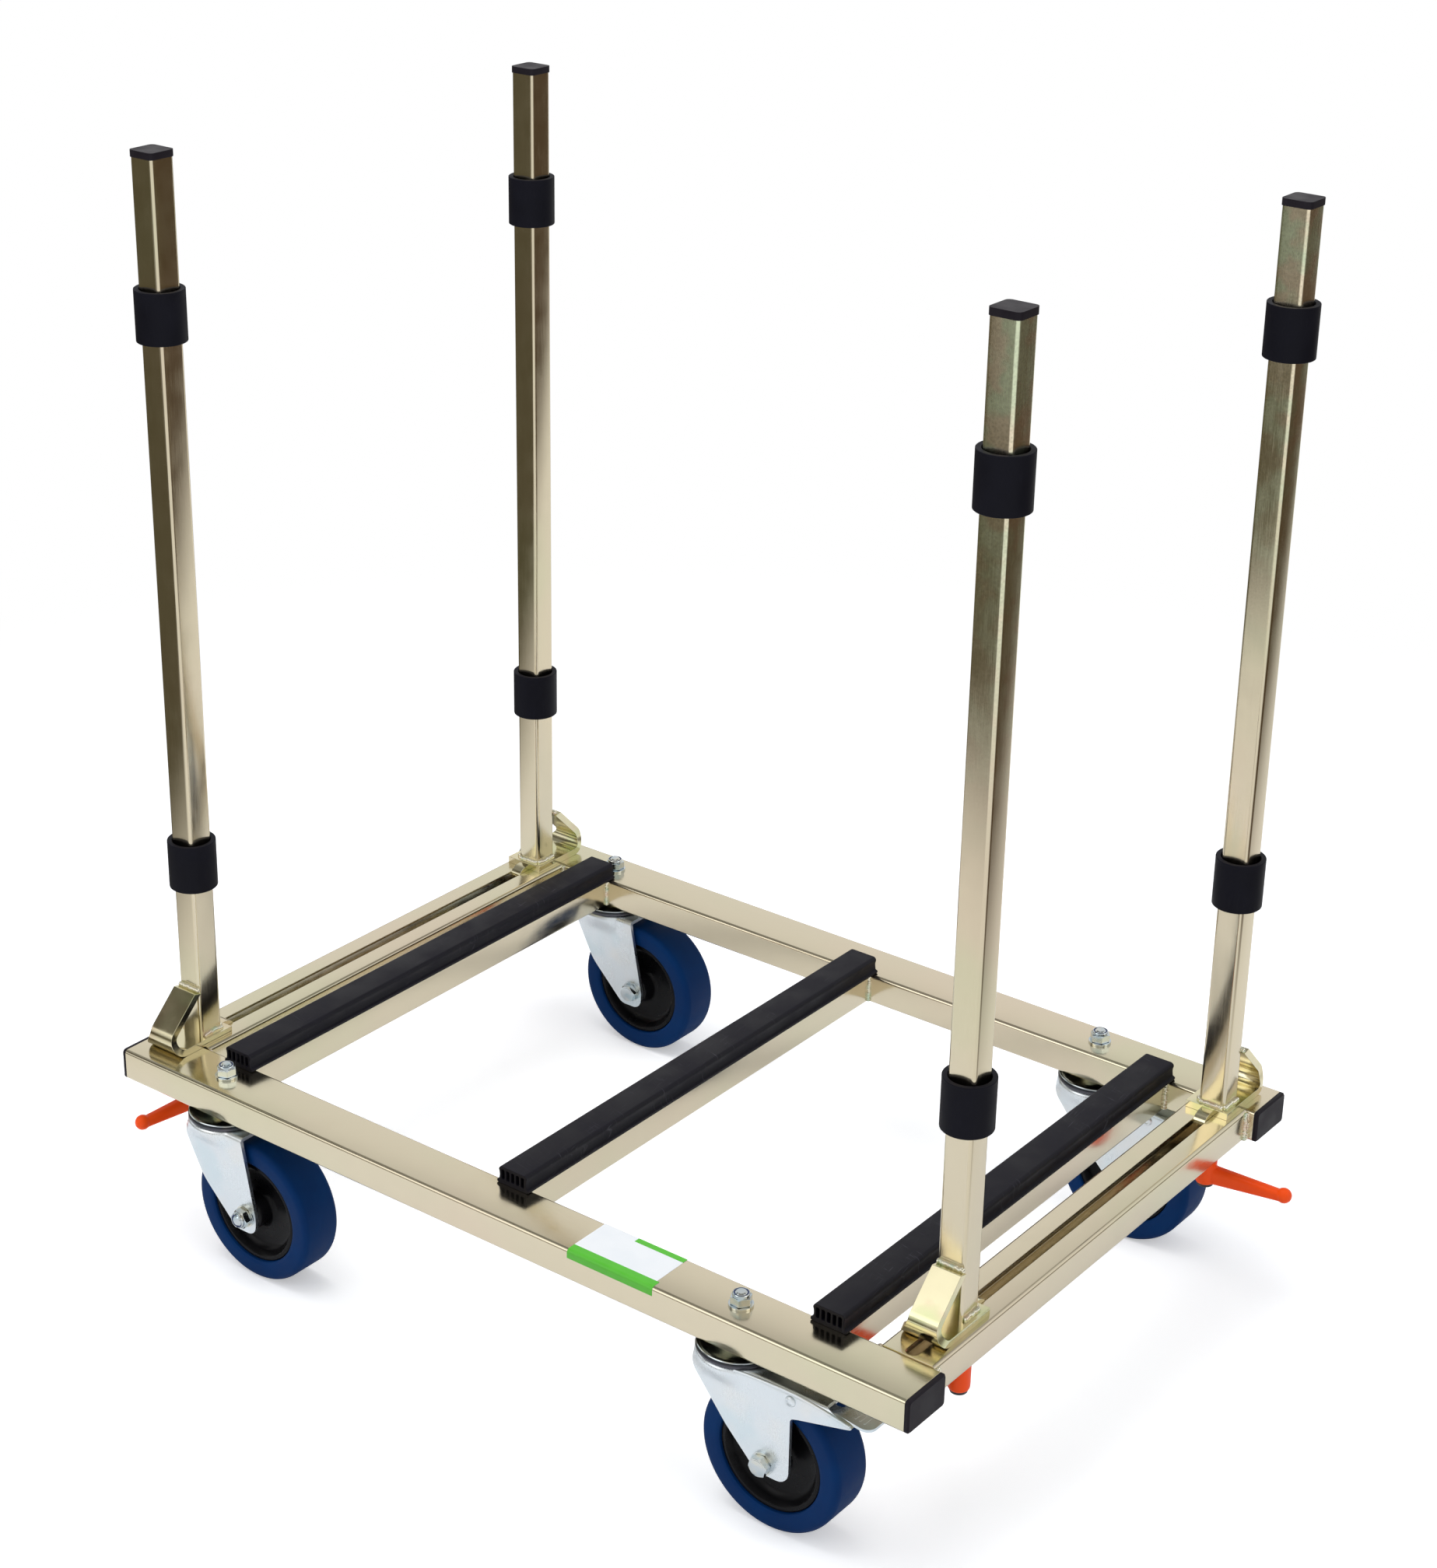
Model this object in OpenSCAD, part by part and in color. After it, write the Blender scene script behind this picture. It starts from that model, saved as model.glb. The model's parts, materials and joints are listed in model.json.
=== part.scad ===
// Drywall cart: a welded tube frame on four swivel casters, with three rubber deck pads and
// four posts that slide along slotted rails and are clamped from below by levers.
// X runs along the side tubes, Y along the slotted rails, Z up from the floor.
// The origin is on the floor, under the centre of the frame.

/* [Frame] */
// Length of the frame over the end caps
frame_l = 1020; // [900:10:1500]
// Width of the frame over the two side tubes
frame_w = 710; // [680:10:1000]
// Height of every frame tube
tube_h = 35; // [30:1:45]
// Width of a side tube
side_tube_w = 60; // [56:1:70]
// Width of a slotted rail
rail_w = 60; // [50:1:70]
// Width of a cross tube
cross_tube_w = 30; // [25:1:40]
// Wall of every frame tube
tube_wall = 3; // [2:0.5:4]
// Outer corner radius of every frame tube
tube_corner_r = 4; // [3.5:0.5:8]
// From the end of the frame to the outer face of a slotted rail
rail_inset = 12.5; // [8:0.5:20]
// Gap between an outer cross tube and the slotted rail next to it
cross_gap = 37.5; // [37.5:2.5:120]
// Thickness of the flange of an end cap
end_cap_t = 5; // [3:0.5:7]
// Depth of the plug of an end cap in its tube
end_plug_l = 18; // [10:1:30]
// Small vent hole in the top of the back side tube
vent_d = 5; // [3:0.5:8]
// From the end of the frame to the vent hole, along the tube
vent_inset = 96; // [70:1:105]

/* [Slots] */
// Width of the slot in the top and bottom of a rail
slot_w = 14; // [11:0.5:15]
// From a side tube to the end of the slot
slot_end_gap = 2; // [1:0.5:5]

/* [Deck pads] */
// Height of a pad over the frame
pad_h = 19.5; // [16:0.5:30]
// Width of a pad at its top
pad_w = 36; // [32:1:44]
// How far each bottom lip of a pad stands out past its top
pad_lip = 2.5; // [1:0.5:4]
// How far a pad runs out over each side tube
pad_overhang = 9; // [4:1:14]
// Number of hollow cells through a pad
pad_cells = 5; // [3:1:6]
// Rubber between the cells and over them
pad_web = 2.4; // [1.5:0.1:3]

/* [Posts] */
// Outer width of a square post
post_w = 30; // [25:1:34]
// Wall of a post
post_wall = 2.5; // [1.5:0.5:4]
// Outer corner radius of a post
post_corner_r = 4; // [3:0.5:4]
// Height of a post's top over the frame, with its cap
post_top_h = 964; // [920:1:1300]
// Side band of a post cap
post_cap_t = 7; // [4:0.5:10]
// How far a post cap stands out past the post on each side
post_cap_lip = 1; // [0.5:0.5:2]
// Depth of the plug of a post cap
post_plug_l = 15; // [8:1:25]
// From the front side tube to the middle of the front left post
front_left_gap = 18; // [15:1:75]
// From the back side tube to the middle of the back left post
back_left_gap = 15; // [10:1:65]
// From the front side tube to the middle of the front right post
front_right_gap = 80; // [20:1:145]
// From the back side tube to the middle of the back right post
back_right_gap = 11; // [5:1:65]

/* [Feet] */
// Width of the flat bar that a foot is bent from
foot_w = 36; // [30:1:50]
// How far the middle of the foot stands beside the middle of the slot
foot_shift = 5; // [0:1:6]
// Thickness of the flat bar
foot_t = 8; // [6:0.5:10]
// From the middle of the post to the inner end of the foot
foot_in = 22; // [20:1:36]
// From the middle of the post to the outermost point of the bend
foot_out = 63; // [55:1:75]
// Inside radius of the bend
foot_bend_r = 17; // [12:0.5:18]
// Slope of the strap that rises back to the post
strap_angle = 45; // [38:1:52]
// Height of the strap's upright end against the post
strap_land = 2; // [1:0.5:6]
// From the middle of the post to the clamp stud, inward
stud_in = 12; // [10:0.5:16]
// From the clamp stud to the far end of the guide tongue
tongue_l = 28; // [15:1:35]
// Gap between the guide tongue and each side of the slot
tongue_clear = 0.2; // [0.1:0.05:0.4]

/* [Sleeves] */
// Outer diameter of a sleeve
sleeve_d = 51; // [48:1:58]
// Length of a sleeve
sleeve_l = 53; // [40:1:70]
// Gap between a sleeve and the corners of its post
sleeve_clear = 0.25; // [0.2:0.05:0.5]
// Height of the lower sleeve's end over the frame, front left
front_left_sleeve_lo = 181; // [150:0.1:260]
// From the post's top down to the upper sleeve's end, front left
front_left_sleeve_drop = 189; // [130:0.1:260]
// Height of the lower sleeve's end over the frame, back left
back_left_sleeve_lo = 199; // [150:0.1:260]
// From the post's top down to the upper sleeve's end, back left
back_left_sleeve_drop = 174; // [130:0.1:260]
// Height of the lower sleeve's end over the frame, front right
front_right_sleeve_lo = 204.4; // [150:0.1:260]
// From the post's top down to the upper sleeve's end, front right
front_right_sleeve_drop = 172; // [130:0.1:260]
// Height of the lower sleeve's end over the frame, back right
back_right_sleeve_lo = 237; // [150:0.1:260]
// From the post's top down to the upper sleeve's end, back right
back_right_sleeve_drop = 152; // [130:0.1:260]

/* [Clamp levers] */
// Diameter of a clamp stud
stud_d = 10; // [8:0.5:10]
// Radial gap round a clamp stud where it turns
stud_clear = 0.05; // [0.02:0.01:0.1]
// Diameter of a lever's hub
hub_d = 22; // [20:0.5:24]
// Height of a lever's hub
hub_h = 43; // [36:1:48]
// Height of the steel collar over the hub
collar_h = 5.5; // [3:0.5:8]
// Diameter of the washer under the rail
clamp_washer_d = 26; // [24:1:30]
// Thickness of the washer under the rail
clamp_washer_t = 2.5; // [1.5:0.5:4]
// Height of the button under the hub
button_h = 3.5; // [2:0.5:5]
// From the hub's axis to the end of the lever
lever_l = 95; // [70:1:110]
// Height of the lever's arm at the hub
arm_h = 21; // [16:1:26]
// Width of the lever's arm at the hub
arm_w = 15; // [12:0.5:18]
// Diameter of the lever's round end
lever_end_d = 17; // [14:0.5:18]
// How far the round end lies under the middle of the arm's root
lever_drop = 12; // [0:1:18]
// Direction of the front left lever, from +X round Z
front_left_lever_turn = 253; // [245:1:260]
// Direction of the back left lever, from +X round Z
back_left_lever_turn = 180; // [175:1:200]
// Direction of the front right lever, from +X round Z
front_right_lever_turn = 180; // [170:1:190]
// Direction of the back right lever, from +X round Z
back_right_lever_turn = 8; // [0:1:15]

/* [Casters] */
// Diameter of a wheel
wheel_d = 160; // [150:1:161]
// Width of a wheel
wheel_w = 50; // [40:1:52]
// Height of a caster, from the floor to the frame
caster_h = 180; // [180:1:200]
// How far a wheel trails behind its swivel axis
trail = 54; // [48:1:56]
// From the end of the frame to a left caster's swivel axis
left_caster_inset = 129; // [125:1:140]
// From the end of the frame to a right caster's swivel axis
right_caster_inset = 210; // [205:1:270]
// Diameter of a caster's round head
head_d = 86; // [82:1:92]
// Thickness of the fork's crown
crown_t = 5; // [4:0.5:6]
// Thickness of a fork leg
leg_t = 4; // [3:0.5:4]
// Gap between a fork leg and the wheel
leg_gap = 4; // [3:0.5:5]
// Height of the bearing seal under the cup
seal_h = 3.4; // [2.5:0.1:4]
// Running gap between the crown and what it turns against
crown_gap = 0.3; // [0.2:0.05:0.5]
// Diameter of the bolts: the swivel stem and the axle
bolt_d = 12; // [10:0.5:12]
// Radial gap round a bolt where something turns on it
bolt_clear = 0.05; // [0.02:0.01:0.1]
// Radial gap round a bolt where nothing turns
bolt_hole_clear = 0.25; // [0.1:0.05:0.5]
// Across the flats of a nut or bolt head
nut_af = 19; // [18:1:22]
// Height of the hexagon of a lock nut
nut_h = 9; // [7:0.5:11]
// Height of the nylon collar of a lock nut
nut_collar_h = 3; // [2:0.5:4]
// Diameter of a bolt washer
washer_d = 24.5; // [23:0.5:28]
// Thickness of a bolt washer
washer_t = 2.5; // [1.5:0.5:3]

/* [Wheels] */
// Thickness of the tyre's rubber under the tread
tyre_t = 22; // [16:1:26]
// Radius of the tyre's shoulder
shoulder_r = 7; // [4:0.5:9]
// Width of the rim's outer ring
rim_w = 44; // [36:1:46]
// Thickness of the rim's outer ring
rim_ring_t = 6; // [4:0.5:8]
// Width of the rim's web
web_w = 20; // [12:1:26]
// Diameter of the rim's hub
rim_hub_d = 36; // [30:1:44]

/* [Brakes] */
// From the swivel axis to the brake's pivot
brake_pivot_x = 83; // [80:0.5:86]
// Height of the brake's pivot over the axle
brake_pivot_h = 82; // [82:0.5:83]
// Diameter of the brake's pivot pin
brake_pin_d = 7; // [6:0.5:8]
// From the swivel axis to the tip of the brake fork
brake_tip_x = 154; // [148:1:156]
// From the swivel axis to the end of the pedal
pedal_reach = 161; // [157:0.5:161]
// Width of the brake pedal
pedal_w = 36; // [28:1:40]
// Thickness of the brake pedal
pedal_t = 3; // [2.5:0.5:3]

/* [Hidden] */

$fn = 72;

// Colours
zinc_gold = [0.80, 0.75, 0.62];
zinc_blue = [0.76, 0.81, 0.84];
black_plastic = [0.12, 0.11, 0.13];
rubber_black = [0.10, 0.10, 0.13];
tyre_blue = [0.06, 0.20, 0.44];
lever_orange = [1.0, 0.31, 0.08];

// Corners: sides along X and Y, and what differs between the four posts and casters
FL = 0;
BL = 1;
FR = 2;
BR = 3;
corners = [FL, BL, FR, BR];
side_x = [-1, -1, 1, 1];
side_y = [-1, 1, -1, 1];
post_gap = [front_left_gap, back_left_gap, front_right_gap, back_right_gap];
post_out = [for (c = corners) frame_w / 2 - side_tube_w - post_gap[c]];
sleeve_lo = [front_left_sleeve_lo, back_left_sleeve_lo, front_right_sleeve_lo, back_right_sleeve_lo];
sleeve_drop = [front_left_sleeve_drop, back_left_sleeve_drop,
    front_right_sleeve_drop, back_right_sleeve_drop];
sleeve_hi = [for (c = corners) post_top_h - sleeve_drop[c]];
lever_turn = [front_left_lever_turn, back_left_lever_turn, front_right_lever_turn, back_right_lever_turn];
left_caster_x = frame_l / 2 - left_caster_inset;
right_caster_x = frame_l / 2 - right_caster_inset;
caster_x = [-left_caster_x, -left_caster_x, right_caster_x, right_caster_x];
has_brake = [false, false, true, true];
// The axle's head is on the -Y side of its wheel at -1, and on the +Y side at 1
axle_head_side = [1, -1, -1, -1];

// Frame heights and places
frame_bottom = caster_h;
frame_top = caster_h + tube_h;
side_tube_y = (frame_w - side_tube_w) / 2;
inner_w = frame_w - 2 * side_tube_w;
rail_x = frame_l / 2 - rail_inset - rail_w / 2;
cross_pitch = rail_x - rail_w / 2 - cross_gap - cross_tube_w / 2;
vent_x = frame_l / 2 - vent_inset;
tube_bore_r = max(tube_corner_r - tube_wall, 0.5);
plug_clear = 0.1;
cut = 1;

// Clamp and foot
bend_outer_r = foot_bend_r + foot_t;
bend_u = foot_out - bend_outer_r;
bend_steps = 18;
stud_r = stud_d / 2;
hub_top = frame_bottom - clamp_washer_t - collar_h;
hub_bottom = hub_top - hub_h;
stud_top = frame_top + foot_t - 1;
stud_bottom = hub_bottom + hub_h * 0.4;
stud_hole_over = 0.4;
collar_d = hub_d - 4;
button_d = hub_d - 3;
tongue_r = slot_w / 2 - tongue_clear;

// Posts and sleeves
post_bore_r = max(post_corner_r - post_wall, 0.5);
post_corner_reach = (post_w / 2 - post_corner_r) * sqrt(2) + post_corner_r;
sleeve_bore_r = post_corner_reach + sleeve_clear;

// Caster heights
axle_z = wheel_d / 2;
cup_h = 4.8;
cup_bottom = frame_bottom - cup_h;
seal_bottom = cup_bottom - seal_h;
crown_top = seal_bottom - crown_gap;
crown_bottom = crown_top - crown_t;
stem_head_h = 6;
stem_head_d = 26;
bolt_r = bolt_d / 2;
bolt_hole_r = bolt_r + bolt_hole_clear;
leg_inner_y = wheel_w / 2 + leg_gap;
leg_outer_y = leg_inner_y + leg_t;
hub_face_gap = 0.3;
rim_r = axle_z - tyre_t;
axle_head_h = 8;
nut_total_h = nut_h + nut_collar_h;
leg_end_r = 16;

// A rectangle w wide and h high with its corners rounded to r, round the origin
module rounded_rect(w, h, r) {
    square([w - 2 * r, h], center = true);
    square([w, h - 2 * r], center = true);
    for (sx = [-1, 1], sy = [-1, 1])
        translate([sx * (w / 2 - r), sy * (h / 2 - r)]) circle(r);
}

// The wall of a frame tube w wide, as a flat section
module tube_section(w) {
    difference() {
        rounded_rect(w, tube_h, tube_corner_r);
        rounded_rect(w - 2 * tube_wall, tube_h - 2 * tube_wall, tube_bore_r);
    }
}

// Lays a section drawn in X and Y out along the X axis, from -l / 2 to l / 2
module along_x(l) {
    rotate([90, 0, 90]) translate([0, 0, -l / 2]) linear_extrude(l) children();
}

// Lays a section drawn in X and Y out along the Y axis, from -l / 2 to l / 2
module along_y(l) {
    rotate([90, 0, 0]) translate([0, 0, -l / 2]) linear_extrude(l) children();
}

// Moves a piece to where a corner's swivel axis meets the floor
module at_caster(c) {
    translate([caster_x[c], side_y[c] * side_tube_y, 0]) children();
}

// Moves a piece to a corner's post, on the frame's top, with +Y pointing outward
module at_post(c) {
    translate([side_x[c] * rail_x, side_y[c] * post_out[c], frame_top])
        mirror([0, side_y[c] < 0 ? 1 : 0, 0]) children();
}

// Moves a piece to a corner's clamp stud, on the floor
module at_stud(c) {
    translate([side_x[c] * rail_x, side_y[c] * (post_out[c] - stud_in), 0]) children();
}

// One side tube, with the holes for its two caster stems
module side_tube(s) {
    color(zinc_gold) difference() {
        translate([0, s * side_tube_y, frame_bottom + tube_h / 2])
            along_x(frame_l - 2 * end_cap_t) tube_section(side_tube_w);
        for (x = [-left_caster_x, right_caster_x])
            translate([x, s * side_tube_y, frame_bottom - cut])
                cylinder(r = bolt_hole_r, h = tube_h + 2 * cut);
        if (s > 0)
            translate([-vent_x, side_tube_y, frame_top - tube_wall - cut])
                cylinder(d = vent_d, h = tube_wall + 2 * cut);
    }
}

// The end caps of both side tubes: a flange over the end and a plug inside it
module tube_end_caps() {
    plug_w = side_tube_w - 2 * tube_wall - 2 * plug_clear;
    plug_h = tube_h - 2 * tube_wall - 2 * plug_clear;
    color(black_plastic) for (sx = [-1, 1], sy = [-1, 1])
        translate([sx * frame_l / 2, sy * side_tube_y, frame_bottom + tube_h / 2])
            mirror([sx > 0 ? 1 : 0, 0, 0]) {
                translate([end_cap_t / 2, 0, 0])
                    along_x(end_cap_t) rounded_rect(side_tube_w, tube_h, tube_corner_r);
                translate([end_cap_t + end_plug_l / 2, 0, 0])
                    along_x(end_plug_l) rounded_rect(plug_w, plug_h, tube_bore_r);
            }
}

// One slotted rail between the side tubes, with a round-ended slot through top and bottom
module slotted_rail(s) {
    slot_l = inner_w - 2 * slot_end_gap;
    color(zinc_gold) translate([s * rail_x, 0, 0]) difference() {
        translate([0, 0, frame_bottom + tube_h / 2]) along_y(inner_w) tube_section(rail_w);
        translate([0, 0, frame_bottom - cut]) linear_extrude(tube_h + 2 * cut) {
            square([slot_w, slot_l - slot_w], center = true);
            for (e = [-1, 1]) translate([0, e * (slot_l - slot_w) / 2]) circle(d = slot_w);
        }
    }
}

// One cross tube between the side tubes
module cross_tube(i) {
    color(zinc_gold) translate([i * cross_pitch, 0, frame_bottom + tube_h / 2])
        along_y(inner_w) tube_section(cross_tube_w);
}

// One rubber deck pad: drawn-in sides, bottom lips and a row of hollow cells
module deck_pad(i) {
    lip_h = 2.5;
    lip_z = 1;
    top_r = 4;
    waist = 1;
    lip_w = pad_w + 2 * pad_lip;
    side_h = pad_h - top_r - lip_z - lip_h;
    waist_r = (side_h * side_h / 4 + waist * waist) / (2 * waist);
    cell_w = (pad_w - 2 * waist - (pad_cells + 1) * pad_web) / pad_cells;
    cell_h = pad_h - lip_z - lip_h - 2 * pad_web;
    cell_r = 1.2;
    color(rubber_black) translate([i * cross_pitch, 0, frame_top])
        along_y(inner_w + 2 * pad_overhang) difference() {
            union() {
                translate([0, pad_h / 2]) rounded_rect(pad_w, pad_h, top_r);
                translate([0, pad_h / 4]) square([pad_w, pad_h / 2], center = true);
                polygon([
                    [-pad_w / 2, 0], [pad_w / 2, 0], [lip_w / 2, lip_z], [lip_w / 2, lip_z + lip_h],
                    [pad_w / 2, lip_z + lip_h + 1], [-pad_w / 2, lip_z + lip_h + 1],
                    [-lip_w / 2, lip_z + lip_h], [-lip_w / 2, lip_z]
                ]);
            }
            for (s = [-1, 1])
                translate([s * (pad_w / 2 + waist_r - waist), lip_z + lip_h + 1 + side_h / 2])
                    circle(r = waist_r, $fn = 180);
            for (k = [0:pad_cells - 1])
                translate([(k - (pad_cells - 1) / 2) * (cell_w + pad_web), lip_z + lip_h + pad_web + cell_h / 2 - 1])
                    rounded_rect(cell_w, cell_h, cell_r);
        }
}

// The swivel stems: bolts whose heads carry the forks and whose threads pass up through the frame
module caster_stems() {
    stem_top = frame_top + washer_t + nut_total_h + 1;
    head_top = crown_bottom - crown_gap;
    color(zinc_blue) for (c = corners) at_caster(c) {
        translate([0, 0, head_top - stem_head_h]) cylinder(d = stem_head_d, h = stem_head_h);
        translate([0, 0, head_top]) cylinder(r = bolt_r, h = stem_top - head_top);
    }
}

// A lock nut standing on z = 0: a hexagon with eased corners and its nylon collar
module lock_nut(bore_r) {
    ease = 1.2;
    corner_r = nut_af / sqrt(3);
    difference() {
        union() {
            intersection() {
                linear_extrude(nut_h) circle(r = corner_r, $fn = 6);
                rotate_extrude() polygon([
                    [0, 0], [corner_r - ease, 0], [corner_r, ease], [corner_r, nut_h - ease],
                    [corner_r - ease, nut_h], [0, nut_h]
                ]);
            }
            translate([0, 0, nut_h]) cylinder(d1 = nut_af - 2, d2 = nut_af - 4, h = nut_collar_h);
        }
        translate([0, 0, -cut]) cylinder(r = bore_r, h = nut_total_h + 2 * cut);
    }
}

// A flat washer standing on z = 0
module bolt_washer() {
    difference() {
        cylinder(d = washer_d, h = washer_t);
        translate([0, 0, -cut]) cylinder(r = bolt_hole_r, h = washer_t + 2 * cut);
    }
}

// The washers and lock nuts on top of the frame
module caster_lock_nuts() {
    color(zinc_blue) for (c = corners) at_caster(c) translate([0, 0, frame_top]) {
        bolt_washer();
        translate([0, 0, washer_t]) lock_nut(bolt_r);
    }
}

// The dished cup against the frame and the seal ring under it, at each caster
module caster_cups() {
    cup_r = head_d / 2 - 1;
    boss_r = 18;
    color(zinc_blue) for (c = corners) at_caster(c) {
        translate([0, 0, cup_bottom]) rotate_extrude() polygon([
            [bolt_hole_r, 0], [cup_r - 1, 0], [cup_r, 2.2], [cup_r - 1.6, 2.8], [cup_r - 7, 1.6],
            [boss_r + 7, 1.6], [boss_r, cup_h], [bolt_hole_r, cup_h]
        ]);
        translate([0, 0, seal_bottom]) difference() {
            cylinder(d = head_d - 1, h = seal_h);
            translate([0, 0, -cut]) cylinder(r = bolt_hole_r, h = seal_h + 2 * cut);
        }
    }
}

// The side outline of a plain fork leg, in X and height
module plain_leg_outline() {
    head_r = head_d / 2;
    polygon([
        [-head_r + 6, crown_top], [-head_r + 6, crown_bottom], [trail - 62, 105], [trail - 24, axle_z - 16],
        [trail - 4, axle_z - 21], [trail + 14, axle_z - 4], [trail + 7, 115], [trail - 3, crown_bottom],
        [trail - 3, crown_top]
    ]);
    translate([trail - 2, axle_z - 5]) circle(leg_end_r);
}

// The side outline of a brake fork leg, with its arm out to the pedal
module brake_leg_outline() {
    head_r = head_d / 2;
    notch_x = trail + 29;
    notch_z = axle_z + 63;
    end_r = 12;
    arm_drop = 9;
    polygon([
        [-head_r + 6, crown_top], [-head_r + 6, crown_bottom], [trail - 45, 104], [trail - 9, axle_z - 10],
        [notch_x - end_r, axle_z - 13], [notch_x, axle_z], [notch_x, notch_z], [brake_tip_x - 4, crown_top - 11],
        [brake_tip_x, crown_top - arm_drop], [brake_tip_x - 33, crown_top]
    ]);
    translate([notch_x - end_r, axle_z - 13 + end_r]) circle(end_r);
    translate([trail + 3, axle_z]) circle(13);
}

// A caster fork: a round crown, two legs and, with a brake, the arms' top plate and the pivot pin
module caster_fork(c) {
    brake = has_brake[c];
    top_end = brake ? brake_tip_x - 34 : trail - 3;
    pivot_z = axle_z + brake_pivot_h;
    color(zinc_blue) at_caster(c) difference() {
        union() {
            translate([0, 0, crown_bottom]) cylinder(d = head_d, h = crown_t);
            translate([0, -leg_outer_y, crown_bottom]) cube([trail - 3, 2 * leg_outer_y, crown_t]);
            if (brake)
                translate([trail - 4, -leg_outer_y, crown_top - leg_t + 0.5])
                    cube([top_end - trail + 4, 2 * leg_outer_y, leg_t - 0.5]);
            for (s = [-1, 1])
                translate([0, s * (leg_inner_y + leg_t / 2), 0]) rotate([90, 0, 0])
                    translate([0, 0, -leg_t / 2]) linear_extrude(leg_t) {
                        if (brake)
                            brake_leg_outline();
                        else
                            plain_leg_outline();
                    }
            if (brake)
                translate([brake_pivot_x, 0, pivot_z]) rotate([90, 0, 0])
                    cylinder(d = brake_pin_d, h = 2 * leg_outer_y + 3, center = true);
        }
        translate([0, 0, crown_bottom - cut]) cylinder(r = bolt_r + bolt_clear, h = crown_t + 2 * cut);
        translate([trail, 0, axle_z]) rotate([90, 0, 0])
            cylinder(r = bolt_r + bolt_clear, h = 2 * leg_outer_y + 2 * cut, center = true);
    }
}

// An axle bolt through both fork legs: head, shank, washers and lock nut
module caster_axle(c) {
    corner_r = nut_af / sqrt(3);
    shank_l = 2 * (leg_outer_y + washer_t) + nut_total_h;
    color(zinc_blue) at_caster(c) translate([trail, 0, axle_z])
        rotate([axle_head_side[c] > 0 ? -90 : 90, 0, 0]) {
            translate([0, 0, leg_outer_y]) bolt_washer();
            translate([0, 0, leg_outer_y + washer_t]) linear_extrude(axle_head_h) circle(r = corner_r, $fn = 6);
            translate([0, 0, leg_outer_y + washer_t - shank_l]) cylinder(r = bolt_r, h = shank_l);
            mirror([0, 0, 1]) {
                translate([0, 0, leg_outer_y]) bolt_washer();
                translate([0, 0, leg_outer_y + washer_t]) lock_nut(bolt_r);
            }
        }
}

// Lays a wheel section, drawn as radius and width, round the axle
module round_axle(c) {
    at_caster(c) translate([trail, 0, axle_z]) rotate([90, 0, 0]) rotate_extrude($fn = 144) children();
}

// A tyre: flat tread, round shoulders and straight side walls
module tyre(c) {
    half_w = wheel_w / 2;
    tread_r = wheel_d / 2;
    steps = 6;
    shoulder = [for (k = [0:steps]) let (a = 90 * k / steps)
        [tread_r - shoulder_r * (1 - cos(a)), half_w - shoulder_r * (1 - sin(a))]];
    color(tyre_blue) round_axle(c) polygon(concat(
        [[rim_r, -half_w + 1], [rim_r, half_w - 1], [rim_r + 1, half_w]],
        [for (k = [steps:-1:0]) shoulder[k]],
        [for (k = [0:steps]) [shoulder[k][0], -shoulder[k][1]]],
        [[rim_r + 1, -half_w]]
    ));
}

// A rim: a hub with its bore, a web and the ring that the tyre sits on
module rim(c) {
    hub_half = leg_inner_y - hub_face_gap;
    hub_r = rim_hub_d / 2;
    ring_in = rim_r - rim_ring_t;
    half = rim_w / 2;
    web = web_w / 2;
    color(black_plastic) round_axle(c) polygon([
        [bolt_r + bolt_clear, -hub_half], [hub_r - 2, -hub_half], [hub_r, -web - 2], [hub_r + 2, -web],
        [ring_in - 4, -web], [ring_in, -half + 2], [ring_in + 1, -half], [rim_r, -half],
        [rim_r, half], [ring_in + 1, half], [ring_in, half - 2], [ring_in - 4, web],
        [hub_r + 2, web], [hub_r, web + 2], [hub_r - 2, hub_half], [bolt_r + bolt_clear, hub_half]
    ]);
}

// A brake pedal: a barrel on the pivot pin, a plate out to the pedal's end and the shoe over the tread
module brake_pedal(c) {
    pin_clear = 0.05;
    barrel_r = brake_pin_d / 2 + 1.9;
    barrel_l = 2 * (leg_inner_y - hub_face_gap);
    plate_in = brake_pivot_x + 2;
    plate_z = axle_z + brake_pivot_h - 3.6;
    end_drop = 5;
    shoe_x = brake_pivot_x + 11;
    shoe_l = 10;
    shoe_w = wheel_w - 12;
    shoe_bottom = plate_z - pedal_t - 3.5;
    end_r = 10;
    color(zinc_blue) at_caster(c) difference() {
        union() {
            translate([brake_pivot_x, 0, axle_z + brake_pivot_h]) rotate([90, 0, 0])
                cylinder(r = barrel_r, h = barrel_l, center = true);
            intersection() {
                rotate([90, 0, 0]) linear_extrude(2 * leg_inner_y, center = true) polygon([
                    [plate_in, plate_z], [shoe_x + shoe_l, plate_z], [pedal_reach - 30, plate_z - 1],
                    [pedal_reach, plate_z - end_drop], [pedal_reach, plate_z - end_drop - pedal_t],
                    [pedal_reach - 30, plate_z - 1 - pedal_t], [plate_in, plate_z - pedal_t]
                ]);
                linear_extrude(frame_top) {
                    translate([plate_in, -pedal_w / 2])
                        square([pedal_reach - plate_in - end_r, pedal_w]);
                    for (s = [-1, 1])
                        translate([pedal_reach - end_r - 1, s * (pedal_w / 2 - end_r)]) circle(end_r);
                    translate([pedal_reach - end_r - 1, -(pedal_w / 2 - end_r)])
                        square([end_r, pedal_w - 2 * end_r]);
                }
            }
            translate([shoe_x, -shoe_w / 2, shoe_bottom])
                cube([shoe_l, shoe_w, plate_z - pedal_t / 2 - shoe_bottom]);
        }
        translate([brake_pivot_x, 0, axle_z + brake_pivot_h]) rotate([90, 0, 0])
            cylinder(r = brake_pin_d / 2 + pin_clear, h = barrel_l + 2 * cut, center = true);
    }
}

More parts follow.
